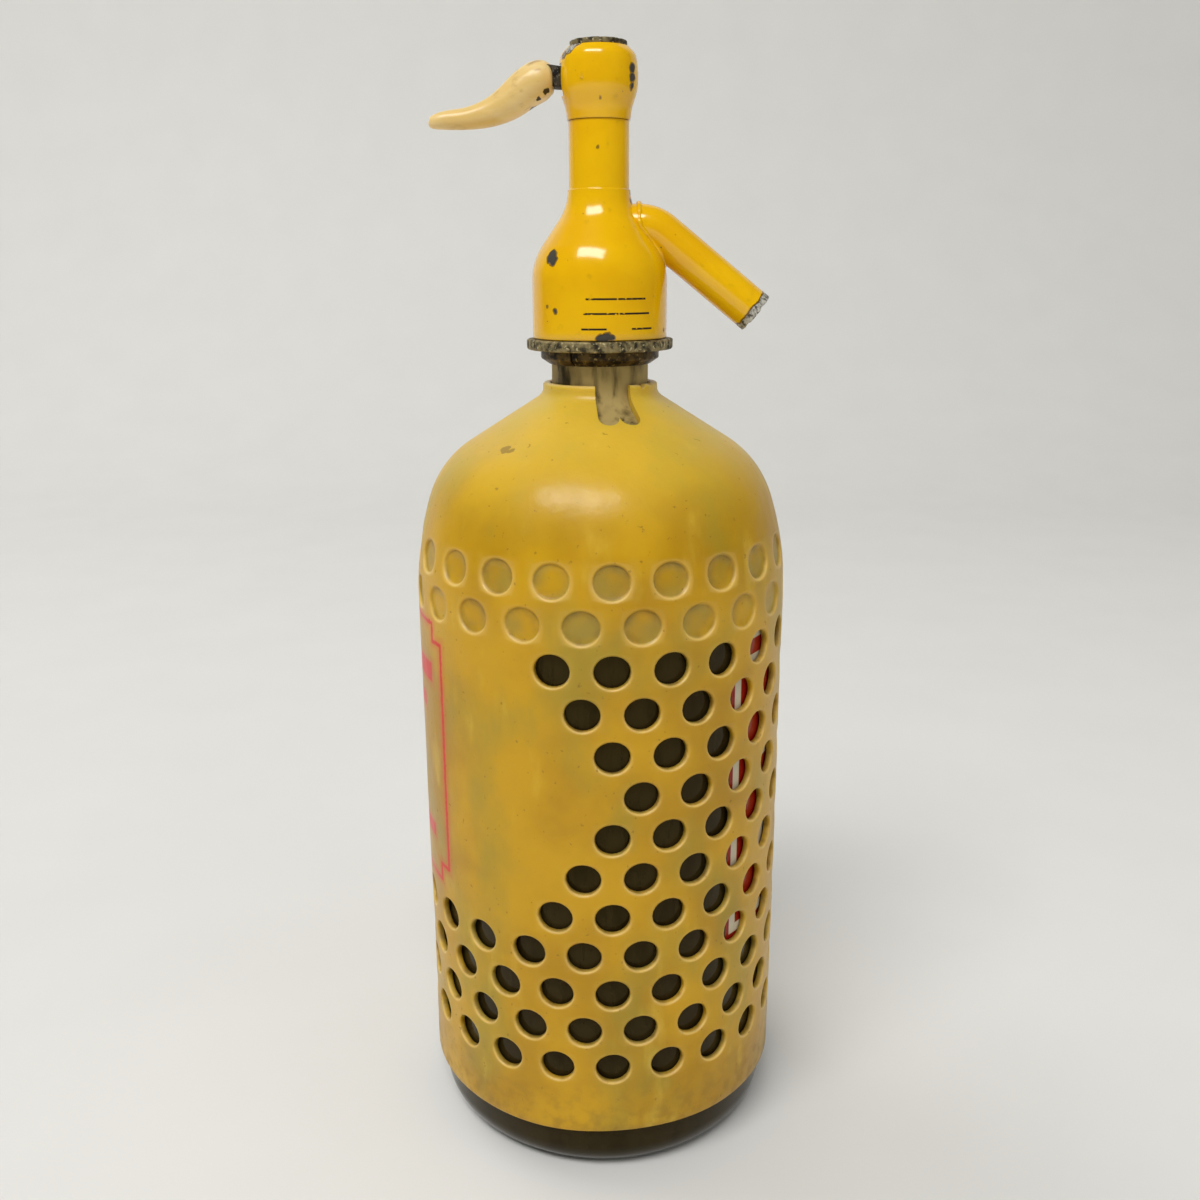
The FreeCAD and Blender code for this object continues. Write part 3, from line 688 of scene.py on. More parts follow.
@dataclass(frozen=True)
class AgedCasein:
    """Ivory-coloured cast plastic: creamy and faintly see-through, browned by age and handling."""

    body: str = "#DDBB70"
    light: str = "#EAD298"
    brown: str = "#8A5E24"
    black: str = "#231A10"
    crack: tuple = ((-17.2, 0.0, 289.6, 1.3), (-15.3, -3.2, 291.6, 0.9), (-13.6, -3.6, 293.6, 1.1))

    def material(self) -> bpy.types.Material:
        """Return the grip's material.

        Returns:
            The material.
        """
        graph = Graph("aged_casein")
        along = graph.noise(7.0, 4.0, (0.35, 1.0, 1.0)).outputs[0]
        colour = graph.blend(graph.ramp(along, 0.4, 0.68), srgb(self.body), srgb(self.light))
        x = graph.times(graph.axes()[0], 1.0 / MM)
        stains = graph.noise(2.4, 6.0, (0.5, 1.0, 1.0)).outputs[0]
        near = graph.ramp(x, -32.0, -12.0)
        brown = graph.times(graph.ramp(stains, 0.55, 0.78), graph.plus(graph.times(near, 0.6), 0.2))
        colour = graph.blend(brown, colour, srgb(self.brown))
        ragged = graph.warped(1.6, 1.1)
        colour = graph.blend(graph.spots(list(self.crack), ragged), colour, srgb(self.black))
        graph.shade(
            Base_Color=colour,
            Roughness=graph.plus(graph.times(stains, 0.2), 0.22),
            IOR=1.54,
            Subsurface_Weight=0.3,
            Subsurface_Radius=(1.0, 0.7, 0.35),
            Subsurface_Scale=1.6 * MM,
        )
        graph.relief(stains, 0.08)
        return graph.material


@dataclass(frozen=True)
class PlainStuff:
    """A plain inner material: rubber, milky tube plastic or drawn spring wire, with a faint mottle."""

    name: str
    colour: str
    shadow: str
    roughness: float
    metallic: float = 0.0

    def material(self) -> bpy.types.Material:
        """Return the material.

        Returns:
            The material.
        """
        graph = Graph(self.name)
        mottle = graph.noise(1.5, 4.0).outputs[0]
        colour = graph.blend(graph.ramp(mottle, 0.4, 0.7), srgb(self.colour), srgb(self.shadow))
        graph.shade(Base_Color=colour, Metallic=self.metallic, Roughness=self.roughness)
        graph.relief(mottle, 0.04)
        return graph.material


# Surfaces


@dataclass
class Patch:
    """A stretch of surface: points in mm, faces as point numbers, and named values per point."""

    points: np.ndarray
    faces: np.ndarray
    values: dict[str, np.ndarray] = field(default_factory=dict)


def lattice(rows: int, columns: int, closed: bool) -> np.ndarray:
    """Return the four-cornered faces of a grid of points.

    Point (i, j) has the number i * columns + j. Each face joins a point to its neighbours in the
    next column and row, and a closed grid joins its last column to its first.

    Args:
        rows: number of rows of points.
        columns: number of points in a row.
        closed: whether the rows are rings.

    Returns:
        Faces, one per row of four point numbers.
    """
    i = np.arange(rows - 1)[:, None] * columns
    j = np.arange(columns if closed else columns - 1)[None, :]
    k = (j + 1) % columns
    corners = (i + j, i + k, i + columns + k, i + columns + j)
    return np.stack([corner.ravel() for corner in corners], axis=1)


def grid_patch(points: np.ndarray, closed: bool = False, **values: np.ndarray) -> Patch:
    """Return a patch from a grid of points of shape rows, columns and 3.

    Args:
        points: the points, in mm.
        closed: whether the rows are rings.
        values: named values per point.

    Returns:
        The patch.
    """
    rows, columns = points.shape[:2]
    flat = {name: np.broadcast_to(value, (rows, columns)).ravel() for name, value in values.items()}
    return Patch(points.reshape(-1, 3), lattice(rows, columns, closed), flat)


def make_mesh(name: str, patches: list[Patch], sharp: float = 40.0) -> bpy.types.Object:
    """Join patches into one smooth-shaded object at the origin, in metres.

    Args:
        name: the piece's name.
        patches: the stretches of its surface. Points that meet are merged.
        sharp: the angle in degrees above which an edge shows.

    Returns:
        The object, linked to the scene.
    """
    points = np.concatenate([patch.points for patch in patches]) * MM
    starts = np.cumsum([0] + [len(patch.points) for patch in patches[:-1]])
    faces = np.concatenate([patch.faces + start for patch, start in zip(patches, starts)])
    mesh = bpy.data.meshes.new(name)
    mesh.from_pydata(points.tolist(), [], faces.tolist())
    for value_name in sorted({key for patch in patches for key in patch.values}):
        data = [patch.values.get(value_name, np.zeros(len(patch.points))) for patch in patches]
        attribute = mesh.attributes.new(value_name, "FLOAT", "POINT")
        attribute.data.foreach_set("value", np.concatenate(data).astype(np.float32))
    tidy(mesh)
    mesh.set_sharp_from_angle(angle=math.radians(sharp))
    piece = bpy.data.objects.new(name, mesh)
    bpy.context.scene.collection.objects.link(piece)
    return piece


def tidy(mesh: bpy.types.Mesh, gap: float = 0.002) -> None:
    """Merge points nearer than a gap in mm, drop empty faces and turn the rest outwards.

    Args:
        mesh: the mesh to change.
        gap: the distance below which points are one, in mm.
    """
    shape = bmesh.new()
    shape.from_mesh(mesh)
    bmesh.ops.remove_doubles(shape, verts=shape.verts, dist=gap * MM)
    bmesh.ops.dissolve_degenerate(shape, edges=shape.edges, dist=gap * 0.1 * MM)
    bmesh.ops.recalc_face_normals(shape, faces=shape.faces)
    for face in shape.faces:
        face.smooth = True
    shape.to_mesh(mesh)
    shape.free()


def turned(profile: np.ndarray, azimuths: np.ndarray, swell: Callable | None = None) -> np.ndarray:
    """Return the grid of points that a profile sweeps round the Z axis.

    A point at radius r, height z and azimuth a lies at (r sin a, -r cos a, z). The swell adds to
    the radius and the height as a function of azimuth in radians, radius and height.

    Args:
        profile: radius and height pairs, in mm.
        azimuths: the azimuths in degrees.
        swell: a function of azimuth, radius and height that returns two steps.

    Returns:
        Points of shape profile length, azimuth count and 3.
    """
    turn = np.radians(azimuths)[None, :]
    radius = np.repeat(profile[:, :1], len(azimuths), axis=1)
    height = np.repeat(profile[:, 1:2], len(azimuths), axis=1)
    if swell is not None:
        more_radius, more_height = swell(turn, radius, height)
        radius = radius + more_radius
        height = height + more_height
    return np.stack([radius * np.sin(turn), -radius * np.cos(turn), height], axis=2)


def ring_azimuths(count: int) -> np.ndarray:
    """Return evenly spaced azimuths that close a ring.

    Args:
        count: how many points to make.

    Returns:
        The azimuths in degrees.
    """
    return np.arange(count) * 360.0 / count


def arc_points(centre: tuple, radius: float, start: float, end: float, count: int) -> np.ndarray:
    """Return points on an arc, whose angles in degrees rise from the horizontal.

    Args:
        centre: the arc's middle.
        radius: the radius, in mm.
        start: the first angle, in degrees.
        end: the last angle in degrees.
        count: how many points to make.

    Returns:
        Pairs of coordinates.
    """
    turn = np.radians(np.linspace(start, end, count))
    return np.stack([centre[0] + radius * np.cos(turn), centre[1] + radius * np.sin(turn)], axis=1)


def corners(*points: tuple, edge: float = 0.25, steps: int = 4) -> np.ndarray:
    """Return an outline through points, with its inner corners rounded off.

    Each corner is cut back by the edge length along both of its sides, and a quadratic curve with
    the corner as its middle control point joins the two cuts.

    Args:
        points: the outline's corners, in mm.
        edge: how far each corner is cut back, in mm.
        steps: points on each round stretch.

    Returns:
        The rounded outline.
    """
    path = np.array(points, float)
    out = [path[:1]]
    t = np.linspace(0.0, 1.0, steps)[:, None]
    for before, corner, after in zip(path, path[1:], path[2:]):
        back = before - corner
        ahead = after - corner
        cut_back = min(edge, np.linalg.norm(back) * 0.45)
        cut_ahead = min(edge, np.linalg.norm(ahead) * 0.45)
        start = corner + back / np.linalg.norm(back) * cut_back
        end = corner + ahead / np.linalg.norm(ahead) * cut_ahead
        out.append((1 - t) ** 2 * start + 2 * t * (1 - t) * corner + t**2 * end)
    out.append(path[-1:])
    return np.concatenate(out)


def smooth_line(points: np.ndarray, count: int) -> np.ndarray:
    """Return a curve through points: a Catmull-Rom spline sampled evenly in its parameter.

    Args:
        points: the points to pass through.
        count: how many points to make.

    Returns:
        The curve's points.
    """
    padded = np.concatenate([2 * points[:1] - points[1:2], points, 2 * points[-1:] - points[-2:-1]])
    t = np.linspace(0.0, len(points) - 1.0, count)
    k = np.minimum(t.astype(int), len(points) - 2)
    f = (t - k)[:, None]
    p0, p1, p2, p3 = (padded[k + step] for step in range(4))
    return 0.5 * (
        2 * p1 + (p2 - p0) * f + (2 * p0 - 5 * p1 + 4 * p2 - p3) * f**2 + (3 * p1 - p0 - 3 * p2 + p3) * f**3
    )


def ripple(turn: np.ndarray, height: np.ndarray, waves: list) -> np.ndarray:
    """Return a sum of sine waves round and up a body, each as size, turns, pitch in mm and phase.

    Args:
        turn: azimuths in radians.
        height: heights in mm.
        waves: size, turns, pitch in mm and phase of each wave.

    Returns:
        The sum, in mm.
    """
    total = np.zeros(np.broadcast(turn, height).shape)
    for size, turns, pitch, phase in waves:
        total = total + size * np.sin(turns * turn + 2 * math.pi * height / pitch + phase)
    return total


def swept(path: np.ndarray, radii: np.ndarray, count: int, flatten: float = 1.0) -> np.ndarray:
    """Return rings round a path that lies in the XZ plane.

    The ring at a path point has the radius r: its points are the path point plus r cos a times
    the path's normal plus flatten r sin a times Y.

    Args:
        path: X and Z of the path's points.
        radii: the radius at each of them.
        count: points in a ring.
        flatten: how much wider than high the section is.

    Returns:
        Points of shape path length, count and 3.
    """
    tangent = np.gradient(path, axis=0)
    tangent /= np.linalg.norm(tangent, axis=1)[:, None]
    normal = np.stack([-tangent[:, 1], tangent[:, 0]], axis=1)
    turn = np.linspace(0.0, 2 * math.pi, count, endpoint=False)[None, :]
    lift = radii[:, None] * np.cos(turn)
    x = path[:, :1] + normal[:, :1] * lift
    z = path[:, 1:2] + normal[:, 1:2] * lift
    y = flatten * radii[:, None] * np.sin(turn)
    return np.stack([x, y, z], axis=2)


def subtract(piece: bpy.types.Object, cutter: bpy.types.Object) -> None:
    """Cut one closed mesh out of another for good, and remove the cutter.

    Args:
        piece: the object to change.
        cutter: the closed object to take away.
    """
    modifier = piece.modifiers.new("cut", "BOOLEAN")
    modifier.operation = "DIFFERENCE"
    modifier.object = cutter
    modifier.solver = "EXACT"
    view = bpy.context.evaluated_depsgraph_get()
    mesh = bpy.data.meshes.new_from_object(piece.evaluated_get(view))
    piece.modifiers.clear()
    piece.data = mesh
    bpy.data.objects.remove(cutter)


def prism(name: str, outline: np.ndarray, low: float, high: float) -> bpy.types.Object:
    """Return an upright closed prism over an outline of X and Y points in mm.

    Args:
        name: the name to give it.
        outline: X and Y of the outline's points, in mm.
        low: height of its foot, in mm.
        high: height of its top, in mm.

    Returns:
        The object, linked to the scene.
    """
    count = len(outline)
    layers = [np.column_stack([outline, np.full(count, z)]) for z in (low, high)]
    mesh = bpy.data.meshes.new(name)
    faces = [list(range(count))[::-1], list(range(count, 2 * count))]
    faces += lattice(2, count, True).tolist()
    mesh.from_pydata((np.concatenate(layers) * MM).tolist(), [], faces)
    tidy(mesh)
    piece = bpy.data.objects.new(name, mesh)
    bpy.context.scene.collection.objects.link(piece)
    return piece


def dress(
    piece: bpy.types.Object,
    material: bpy.types.Material,
    body: str,
    slot: str,
    *nodes: str,
) -> bpy.types.Object:
    """Give a piece its material and body, and hide the frame's nodes that it stands for.

    Args:
        piece: the object to change.
        material: its material.
        body: the name of the body that it rides on.
        slot: not used.
        nodes: the nodes that it stands for.

    Returns:
        The object, linked to the scene.
    """
    piece.data.materials.clear()
    piece.data.materials.append(material)
    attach(piece, body)
    if nodes:
        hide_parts(*nodes)
    LOG.info("%s: %d faces on %s", piece.name, len(piece.data.polygons), body)
    return piece


def smoothed_copy(node: str, name: str, sharp: float = 35.0) -> bpy.types.Object:
    """Return a merged and smooth-shaded copy of one of the frame's nodes.

    Args:
        node: the node's name.
        name: the name to give it.
        sharp: the angle in degrees above which an edge shows.

    Returns:
        The object, linked to the scene.
    """
    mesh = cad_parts[node].data.copy()
    tidy(mesh, 0.001)
    mesh.set_sharp_from_angle(angle=math.radians(sharp))
    piece = bpy.data.objects.new(name, mesh)
    bpy.context.scene.collection.objects.link(piece)
    return piece


class Body(Enum):
    """The bodies that pieces ride on."""

    SIPHON = "siphon"
    VALVE = "valve"
    LEVER = "lever"


# Sub-assemblies


@dataclass
class Shoulder:
    """The side of the bottle and its sleeve: a wall, two convex arcs, a cone and a concave arc."""

    radius: float = 52.5
    turn_z: float = 161.0
    arcs: tuple = ((89.0, 18.0), (27.5, 57.8))
    top_arc: float = 4.0
    top_r: float = 15.7

    def side(self, inset: float, low: float, high: float, steps: int = 24) -> np.ndarray:
        """Return the side's outline, moved inwards by an inset.

        The arcs keep their centres and lose the inset from their radii, and the concave arc
        gains it, so every point moves along its normal.

        Args:
            inset: the distance from the sleeve's outer surface.
            low: height of the lowest point.
            high: height of the highest point.
            steps: points on each arc.

        Returns:
            Radius and height pairs from low to high.
        """
        parts = [np.array([[self.radius - inset, low]])]
        centre = np.array([self.radius - self.arcs[0][0], self.turn_z])
        slope, last = 0.0, self.arcs[0][0]
        for arc_r, end in self.arcs:
            turn = math.radians(slope)
            centre = centre + (last - arc_r) * np.array([math.cos(turn), math.sin(turn)])
            parts.append(arc_points(centre, arc_r - inset, slope, end, steps))
            slope, last = end, arc_r
        turn = math.radians(slope)
        normal = np.array([math.cos(turn), math.sin(turn)])
        convex_end = centre + last * normal
        run = (convex_end[0] - self.top_r - self.top_arc * (1 - normal[0])) / normal[1]
        top = convex_end + run * np.array([-normal[1], normal[0]]) + self.top_arc * normal
        parts.append(arc_points(top, self.top_arc + inset, 180 + slope, 180, steps))
        parts.append(np.array([[self.top_r - inset, high]]))
        outline = np.concatenate(parts)
        keep = np.append(True, np.linalg.norm(np.diff(outline, axis=0), axis=1) > 1e-6)
        return outline[keep]


@dataclass
class Sleeve:
    """The perforated jacket, whose holes and dimples are cells of one grid round the bottle."""

    shoulder: Shoulder
    wall: float = 2.0
    low: float = 15.0
    collar_top: float = 219.7
    columns: int = 21
    across: int = 8
    up: int = 6
    top_row_z: float = 151.9
    pitch: float = 11.57
    first_column: float = -14.1
    counts: tuple = (12, 11, 10, 9, 10, 11, 12, 21, 21, 21, 21)
    panel_azimuth: float = -99.8
    dimple_rows: int = 2
    hole_half: tuple = (4.82, 4.42)
    round_off: float = 0.6
    dimple_depth: float = 0.85
    slot_azimuth: float = 13.0
    slot_width: float = 6.6
    slot_end_r: float = 25.0
    slot_lobe_r: float = 2.8

    def __post_init__(self) -> None:
        """Measure the way up the outer side, from which every surface point is read."""
        fine = self.shoulder.side(0.0, self.low, self.collar_top, 120)
        way = np.concatenate([[0.0], np.cumsum(np.linalg.norm(np.diff(fine, axis=0), axis=1))])
        self.way_end = way[-1]
        grid = np.linspace(0.0, self.way_end, 3000)
        self.way = grid
        self.path = np.stack([np.interp(grid, way, fine[:, 0]), np.interp(grid, way, fine[:, 1])], axis=1)
        tangent = np.gradient(self.path, axis=0)
        tangent /= np.linalg.norm(tangent, axis=1)[:, None]
        self.normal = np.stack([tangent[:, 1], -tangent[:, 0]], axis=1)

    def place(self, azimuth: np.ndarray, way: np.ndarray, depth: np.ndarray) -> np.ndarray:
        """Return points at an azimuth in degrees, a way up the side and a depth under its surface.

        The side's outline gives a radius and a height for each way up, and its normal carries the
        depth. Slow waves press the thin wall in by up to a quarter of a millimetre.

        Args:
            azimuth: azimuths in degrees.
            way: ways up the side, in mm.
            depth: depths under the outer surface, in mm.

        Returns:
            Points with X, Y and Z in mm.
        """
        shape = np.broadcast(azimuth, way, depth).shape
        azimuth, way, depth = (np.broadcast_to(x, shape) for x in (azimuth, way, depth))
        radius = np.interp(way, self.way, self.path[:, 0])
        height = np.interp(way, self.way, self.path[:, 1])
        out_r = np.interp(way, self.way, self.normal[:, 0])
        out_z = np.interp(way, self.way, self.normal[:, 1])
        turn = np.radians(azimuth)
        waves = [(0.06, 3, 160.0, 0.4), (0.05, 5, 90.0, 1.9), (0.04, 8, 60.0, 4.0)]
        dent = ripple(turn, height, waves) - 0.15
        radius = radius + (dent - depth) * out_r
        height = height + (dent - depth) * out_z
        low_edge = np.clip(1.0 - way / 6.0, 0.0, 1.0)
        uneven = ripple(turn, 0.0 * turn, [(0.25, 3, 1.0, 1.0), (0.15, 7, 1.0, 0.3)])
        height = height + low_edge * (0.35 + uneven)
        lift, drop = self.collar_curl(azimuth, way)
        radius = radius + lift
        height = height - drop
        return np.stack([radius * np.sin(turn), -radius * np.cos(turn), height], axis=-1)

    def collar_curl(self, azimuth: np.ndarray, way: np.ndarray) -> tuple:
        """Return how far the collar's lip stands out and how much of its top is worn away.

        Args:
            azimuth: azimuths in degrees.
            way: ways up the side, in mm.

        Returns:
            How far the lip stands out and how far its top drops, in mm.
        """
        top = np.clip((way - (self.way_end - 6.0)) / 6.0, 0.0, 1.0)
        near = np.exp(-(((azimuth - self.slot_azimuth + 180.0) % 360.0 - 180.0) / 24.0) ** 2)
        turn = np.radians(azimuth)
        lip = np.exp(-((way - (self.way_end - 1.0)) / 0.7) ** 2)
        lift = 0.35 * top * near + 0.3 * lip
        jag = np.clip(ripple(turn, 0.0 * turn, [(0.6, 17, 1.0, 0.5), (0.5, 29, 1.0, 2.0)]), 0.0, 1.0)
        worn = np.exp(-(((azimuth - 52.0 + 180.0) % 360.0 - 180.0) / 26.0) ** 2)
        return lift, top**3 * (0.25 + jag * worn * 1.2)

    def row_way(self, row: int) -> float:
        """Return the way up of a row's middle, with row 0 the top row of through holes.

        Args:
            row: the row's number.

        Returns:
            The way up, in mm.
        """
        return self.top_row_z - self.low - row * self.pitch

    def cell_outline(self) -> tuple:
        """Return a cell's outline and its hole's, as matching points in mm round the cell.

        Returns:
            The cell's points in mm, and the hole's as directions.
        """
        half_u = math.pi * self.shoulder.radius / self.columns
        half_v = self.pitch / 2
        side_u = np.linspace(-half_u, half_u, self.across + 1)[:-1]
        side_v = np.linspace(-half_v, half_v, self.up + 1)[:-1]
        low = np.stack([side_u, np.full(self.across, -half_v)], axis=1)
        right = np.stack([np.full(self.up, half_u), side_v], axis=1)
        box = np.concatenate([low, right, -low, -right])
        turn = np.arctan2(box[:, 1] / half_v, box[:, 0] / half_u)
        oval = np.stack([np.cos(turn), np.sin(turn)], axis=1)
        return box, oval

    def cells(self, centres: np.ndarray, layers: list) -> Patch:
        """Return one ring-shaped patch per cell centre.

        A layer is given by its share of the way from the hole to the cell's edge, its step out
        from the hole in mm, its depth, and how much of it takes the painted rim highlight and the
        painted shade of the well. Its points are the hole's oval, grown by the step, and drawn
        towards the cell's outline by the share.

        Args:
            centres: azimuth and way up of each cell.
            layers: the layers, from the cell's outer edge over the rim to its inner edge.

        Returns:
            One patch with all the cells.
        """
        box, oval = self.cell_outline()
        half = np.array(self.hole_half)
        rings, depths, rim_highlights, wells = [], [], [], []
        for share, step, depth, rim, well in layers:
            hole = oval * np.maximum(half + step, 0.0)
            rings.append(hole * (1 - share) + box * share)
            depths.append(depth)
            rim_highlights.append(rim)
            wells.append(well)
        local = np.stack(rings)
        azimuth = centres[:, None, None, 0] + np.degrees(local[None, :, :, 0] / self.shoulder.radius)
        way = centres[:, None, None, 1] + local[None, :, :, 1]
        depth = np.array(depths)[None, :, None]
        points = self.place(azimuth, way, depth)
        number, rows, around = points.shape[:3]
        faces = lattice(rows, around, True)
        starts = np.arange(number)[:, None, None] * rows * around
        every = (faces[None] + starts).reshape(-1, 4)
        shape = (number, rows, around)
        rim = np.broadcast_to(np.array(rim_highlights)[None, :, None], shape).ravel()
        well = np.broadcast_to(np.array(wells)[None, :, None], shape).ravel()
        deep = np.array(depths)
        sunk = np.clip(deep / self.dimple_depth, 0.0, 1.0) * (deep < self.wall * 0.9)
        floor = np.broadcast_to(sunk[None, :, None], shape).ravel()
        return Patch(points.reshape(-1, 3), every, {"rim": rim, "well": well, "floor": floor})

    def hole_layers(self) -> list:
        """Return the layers of a through hole: face, rounded rim, wall, rounded inner rim, inner face.

        Returns:
            The layers, as cells() takes them.
        """
        edge = self.round_off
        layers = [(1.0, edge, 0.0, 0.0, 0.0), (0.45, edge, 0.0, 0.0, 0.0), (0.12, edge, 0.0, 0.25, 0.0)]
        # The painted rim highlight is strongest half way round the rounded rim.
        for degrees in (0.0, 30.0, 60.0, 90.0):
            turn = math.radians(degrees)
            rim = 0.5 + 0.5 * math.sin(2 * turn)
            step = edge * (1 - math.sin(turn))
            layers.append((0.0, step, edge * (1 - math.cos(turn)), rim, degrees / 120.0))
        layers.append((0.0, 0.0, self.wall - edge / 2, 0.1, 1.0))
        layers.append((0.0, edge / 2, self.wall, 0.0, 1.0))
        layers.append((1.0, edge, self.wall, 0.0, 0.3))
        return layers

    def dimple_layers(self) -> list:
        """Return the layers of a blind dimple, from the cell's edge down to the dimple's middle.

        Returns:
            The layers, as cells() takes them.
        """
        edge = self.round_off
        deep = self.dimple_depth
        layers = [(1.0, edge, 0.0, 0.0, 0.0), (0.4, edge, 0.0, 0.1, 0.0), (0.0, edge, 0.0, 0.7, 0.0)]
        layers += [(0.0, 0.35 * edge, 0.25 * deep, 1.0, 0.1), (0.0, 0.0, 0.75 * deep, 0.5, 0.6)]
        layers += [(0.0, -0.5 * edge, deep, 0.1, 0.5), (0.0, HALF_WAY_IN, deep, 0.0, 0.1)]
        return layers + [(0.0, ALL_THE_WAY_IN, deep, 0.0, 0.0)]

    def blank_layers(self, depth: float) -> list:
        """Return the layers of a blank face at a depth, closed in its middle.

        Args:
            depth: the face's depth, in mm.

        Returns:
            The layers, as cells() takes them.
        """
        places = ((1.0, 0.0), (0.0, 0.0), (0.0, HALF_WAY_IN), (0.0, ALL_THE_WAY_IN))
        return [(share, step, depth, 0.0, 0.0) for share, step in places]

    def centres(self) -> tuple:
        """Return the azimuths and ways up of the holes, the dimples and the blank cells.

        Returns:
            Three lists of azimuth and way up.
        """
        holes, dimples, blanks = [], [], []
        step = 360.0 / self.columns
        for row in range(-self.dimple_rows, len(self.counts)):
            ring = self.first_column + (row % 2) * step / 2 + step * np.arange(self.columns)
            off_panel = np.abs((ring - self.panel_azimuth + 180.0) % 360.0 - 180.0)
            order = ring[np.argsort(-off_panel)]
            way = self.row_way(row)
            if row < 0:
                dimples += [(azimuth, way) for azimuth in order]
            else:
                holes += [(azimuth, way) for azimuth in order[:self.counts[row]]]
                blanks += [(azimuth, way) for azimuth in order[self.counts[row]:]]
        return np.array(holes), np.array(dimples), np.array(blanks)

    def band(self, ways: np.ndarray, depth: np.ndarray, rim: np.ndarray) -> Patch:
        """Return a closed band round the sleeve through the given ways up, depths and rim values.

        Args:
            ways: ways up the side, in mm.
            depth: depths under the outer surface, in mm.
            rim: how much of each point takes the painted rim highlight.

        Returns:
            The patch.
        """
        count = self.columns * self.across
        azimuths = self.first_column + 180.0 / self.columns + ring_azimuths(count)
        points = self.place(azimuths[None, :], ways[:, None], depth[:, None])
        return grid_patch(points, True, rim=rim[:, None], well=0.0 * rim[:, None])

    def edge_band(self, inner: float, outer: float, steps: int) -> Patch:
        """Return the band from a ring of cells to the sleeve's edge, over it and back inside.

        Args:
            inner: the way up where the cells end.
            outer: the way up of the sleeve's edge.
            steps: rows on each flank.

        Returns:
            The patch.
        """
        turn = np.radians(np.linspace(0.0, 180.0, 7))
        half = self.wall / 2
        sign = 1.0 if outer > inner else -1.0
        tip = outer - sign * half * 0.6
        flank = np.linspace(inner, tip, steps)
        ways = np.concatenate([flank, tip + sign * half * 0.6 * np.sin(turn[1:-1]), flank[::-1]])
        round_depth = half * (1 - np.cos(turn[1:-1]))
        depth = np.concatenate([np.zeros(steps), round_depth, np.full(steps, self.wall)])
        # The rounded edge takes the painted rim highlight.
        rim = np.concatenate([np.zeros(steps), np.full(5, 0.8), np.zeros(steps)])
        return self.band(ways, depth, rim)

    def slot_cutter(self, azimuth: float) -> bpy.types.Object:
        """Return the cutter of a slot: straight sides that end in two round lobes.

        Args:
            azimuth: the slot's azimuth in degrees.

        Returns:
            The object, linked to the scene.
        """
        half = self.slot_width / 2
        lobe = self.slot_lobe_r
        reach = self.slot_end_r - lobe
        start = math.degrees(math.asin(min(1.0, (half - lobe) / lobe)))
        right = arc_points((lobe, -reach), lobe, start, -180.0, 16)
        left = right[::-1] * np.array([-1.0, 1.0])
        outline = np.concatenate([np.array([[half, -2.0]]), right, left[1:], np.array([[-half, -2.0]])])
        turn = math.radians(azimuth)
        spin = np.array([[math.cos(turn), math.sin(turn)], [-math.sin(turn), math.cos(turn)]])
        return prism("slot_cutter", outline @ spin, self.shoulder.turn_z + 20.0, self.collar_top + 5.0)

    def build(self) -> bpy.types.Object:
        """Return the finished sleeve.

        Returns:
            The object, linked to the scene.
        """
        top_way = self.row_way(-self.dimple_rows) + self.pitch / 2
        low_way = self.row_way(len(self.counts) - 1) - self.pitch / 2
        upper = make_mesh("sleeve_upper", [self.edge_band(top_way, self.way_end, 56)])
        for number in range(2):
            subtract(upper, self.slot_cutter(self.slot_azimuth + 180.0 * number))
        holes, dimples, blanks = self.centres()
        closed = np.concatenate([dimples, blanks])
        patches = [
            self.cells(holes, self.hole_layers()),
            self.cells(dimples, self.dimple_layers()),
            self.cells(blanks, self.blank_layers(0.0)),
            self.cells(closed, self.blank_layers(self.wall)),
            self.edge_band(low_way, 0.0, 8),
        ]
        piece = make_mesh("sleeve", patches, 60.0)
        shape = bmesh.new()
        shape.from_mesh(piece.data)
        shape.from_mesh(upper.data)
        shape.to_mesh(piece.data)
        shape.free()
        bpy.data.objects.remove(upper)
        tidy(piece.data)
        piece.data.set_sharp_from_angle(angle=math.radians(60.0))
        return dress(piece, MouldedPolyethylene().material(), Body.SIPHON.value, "sleeve_plastic", "sleeve")


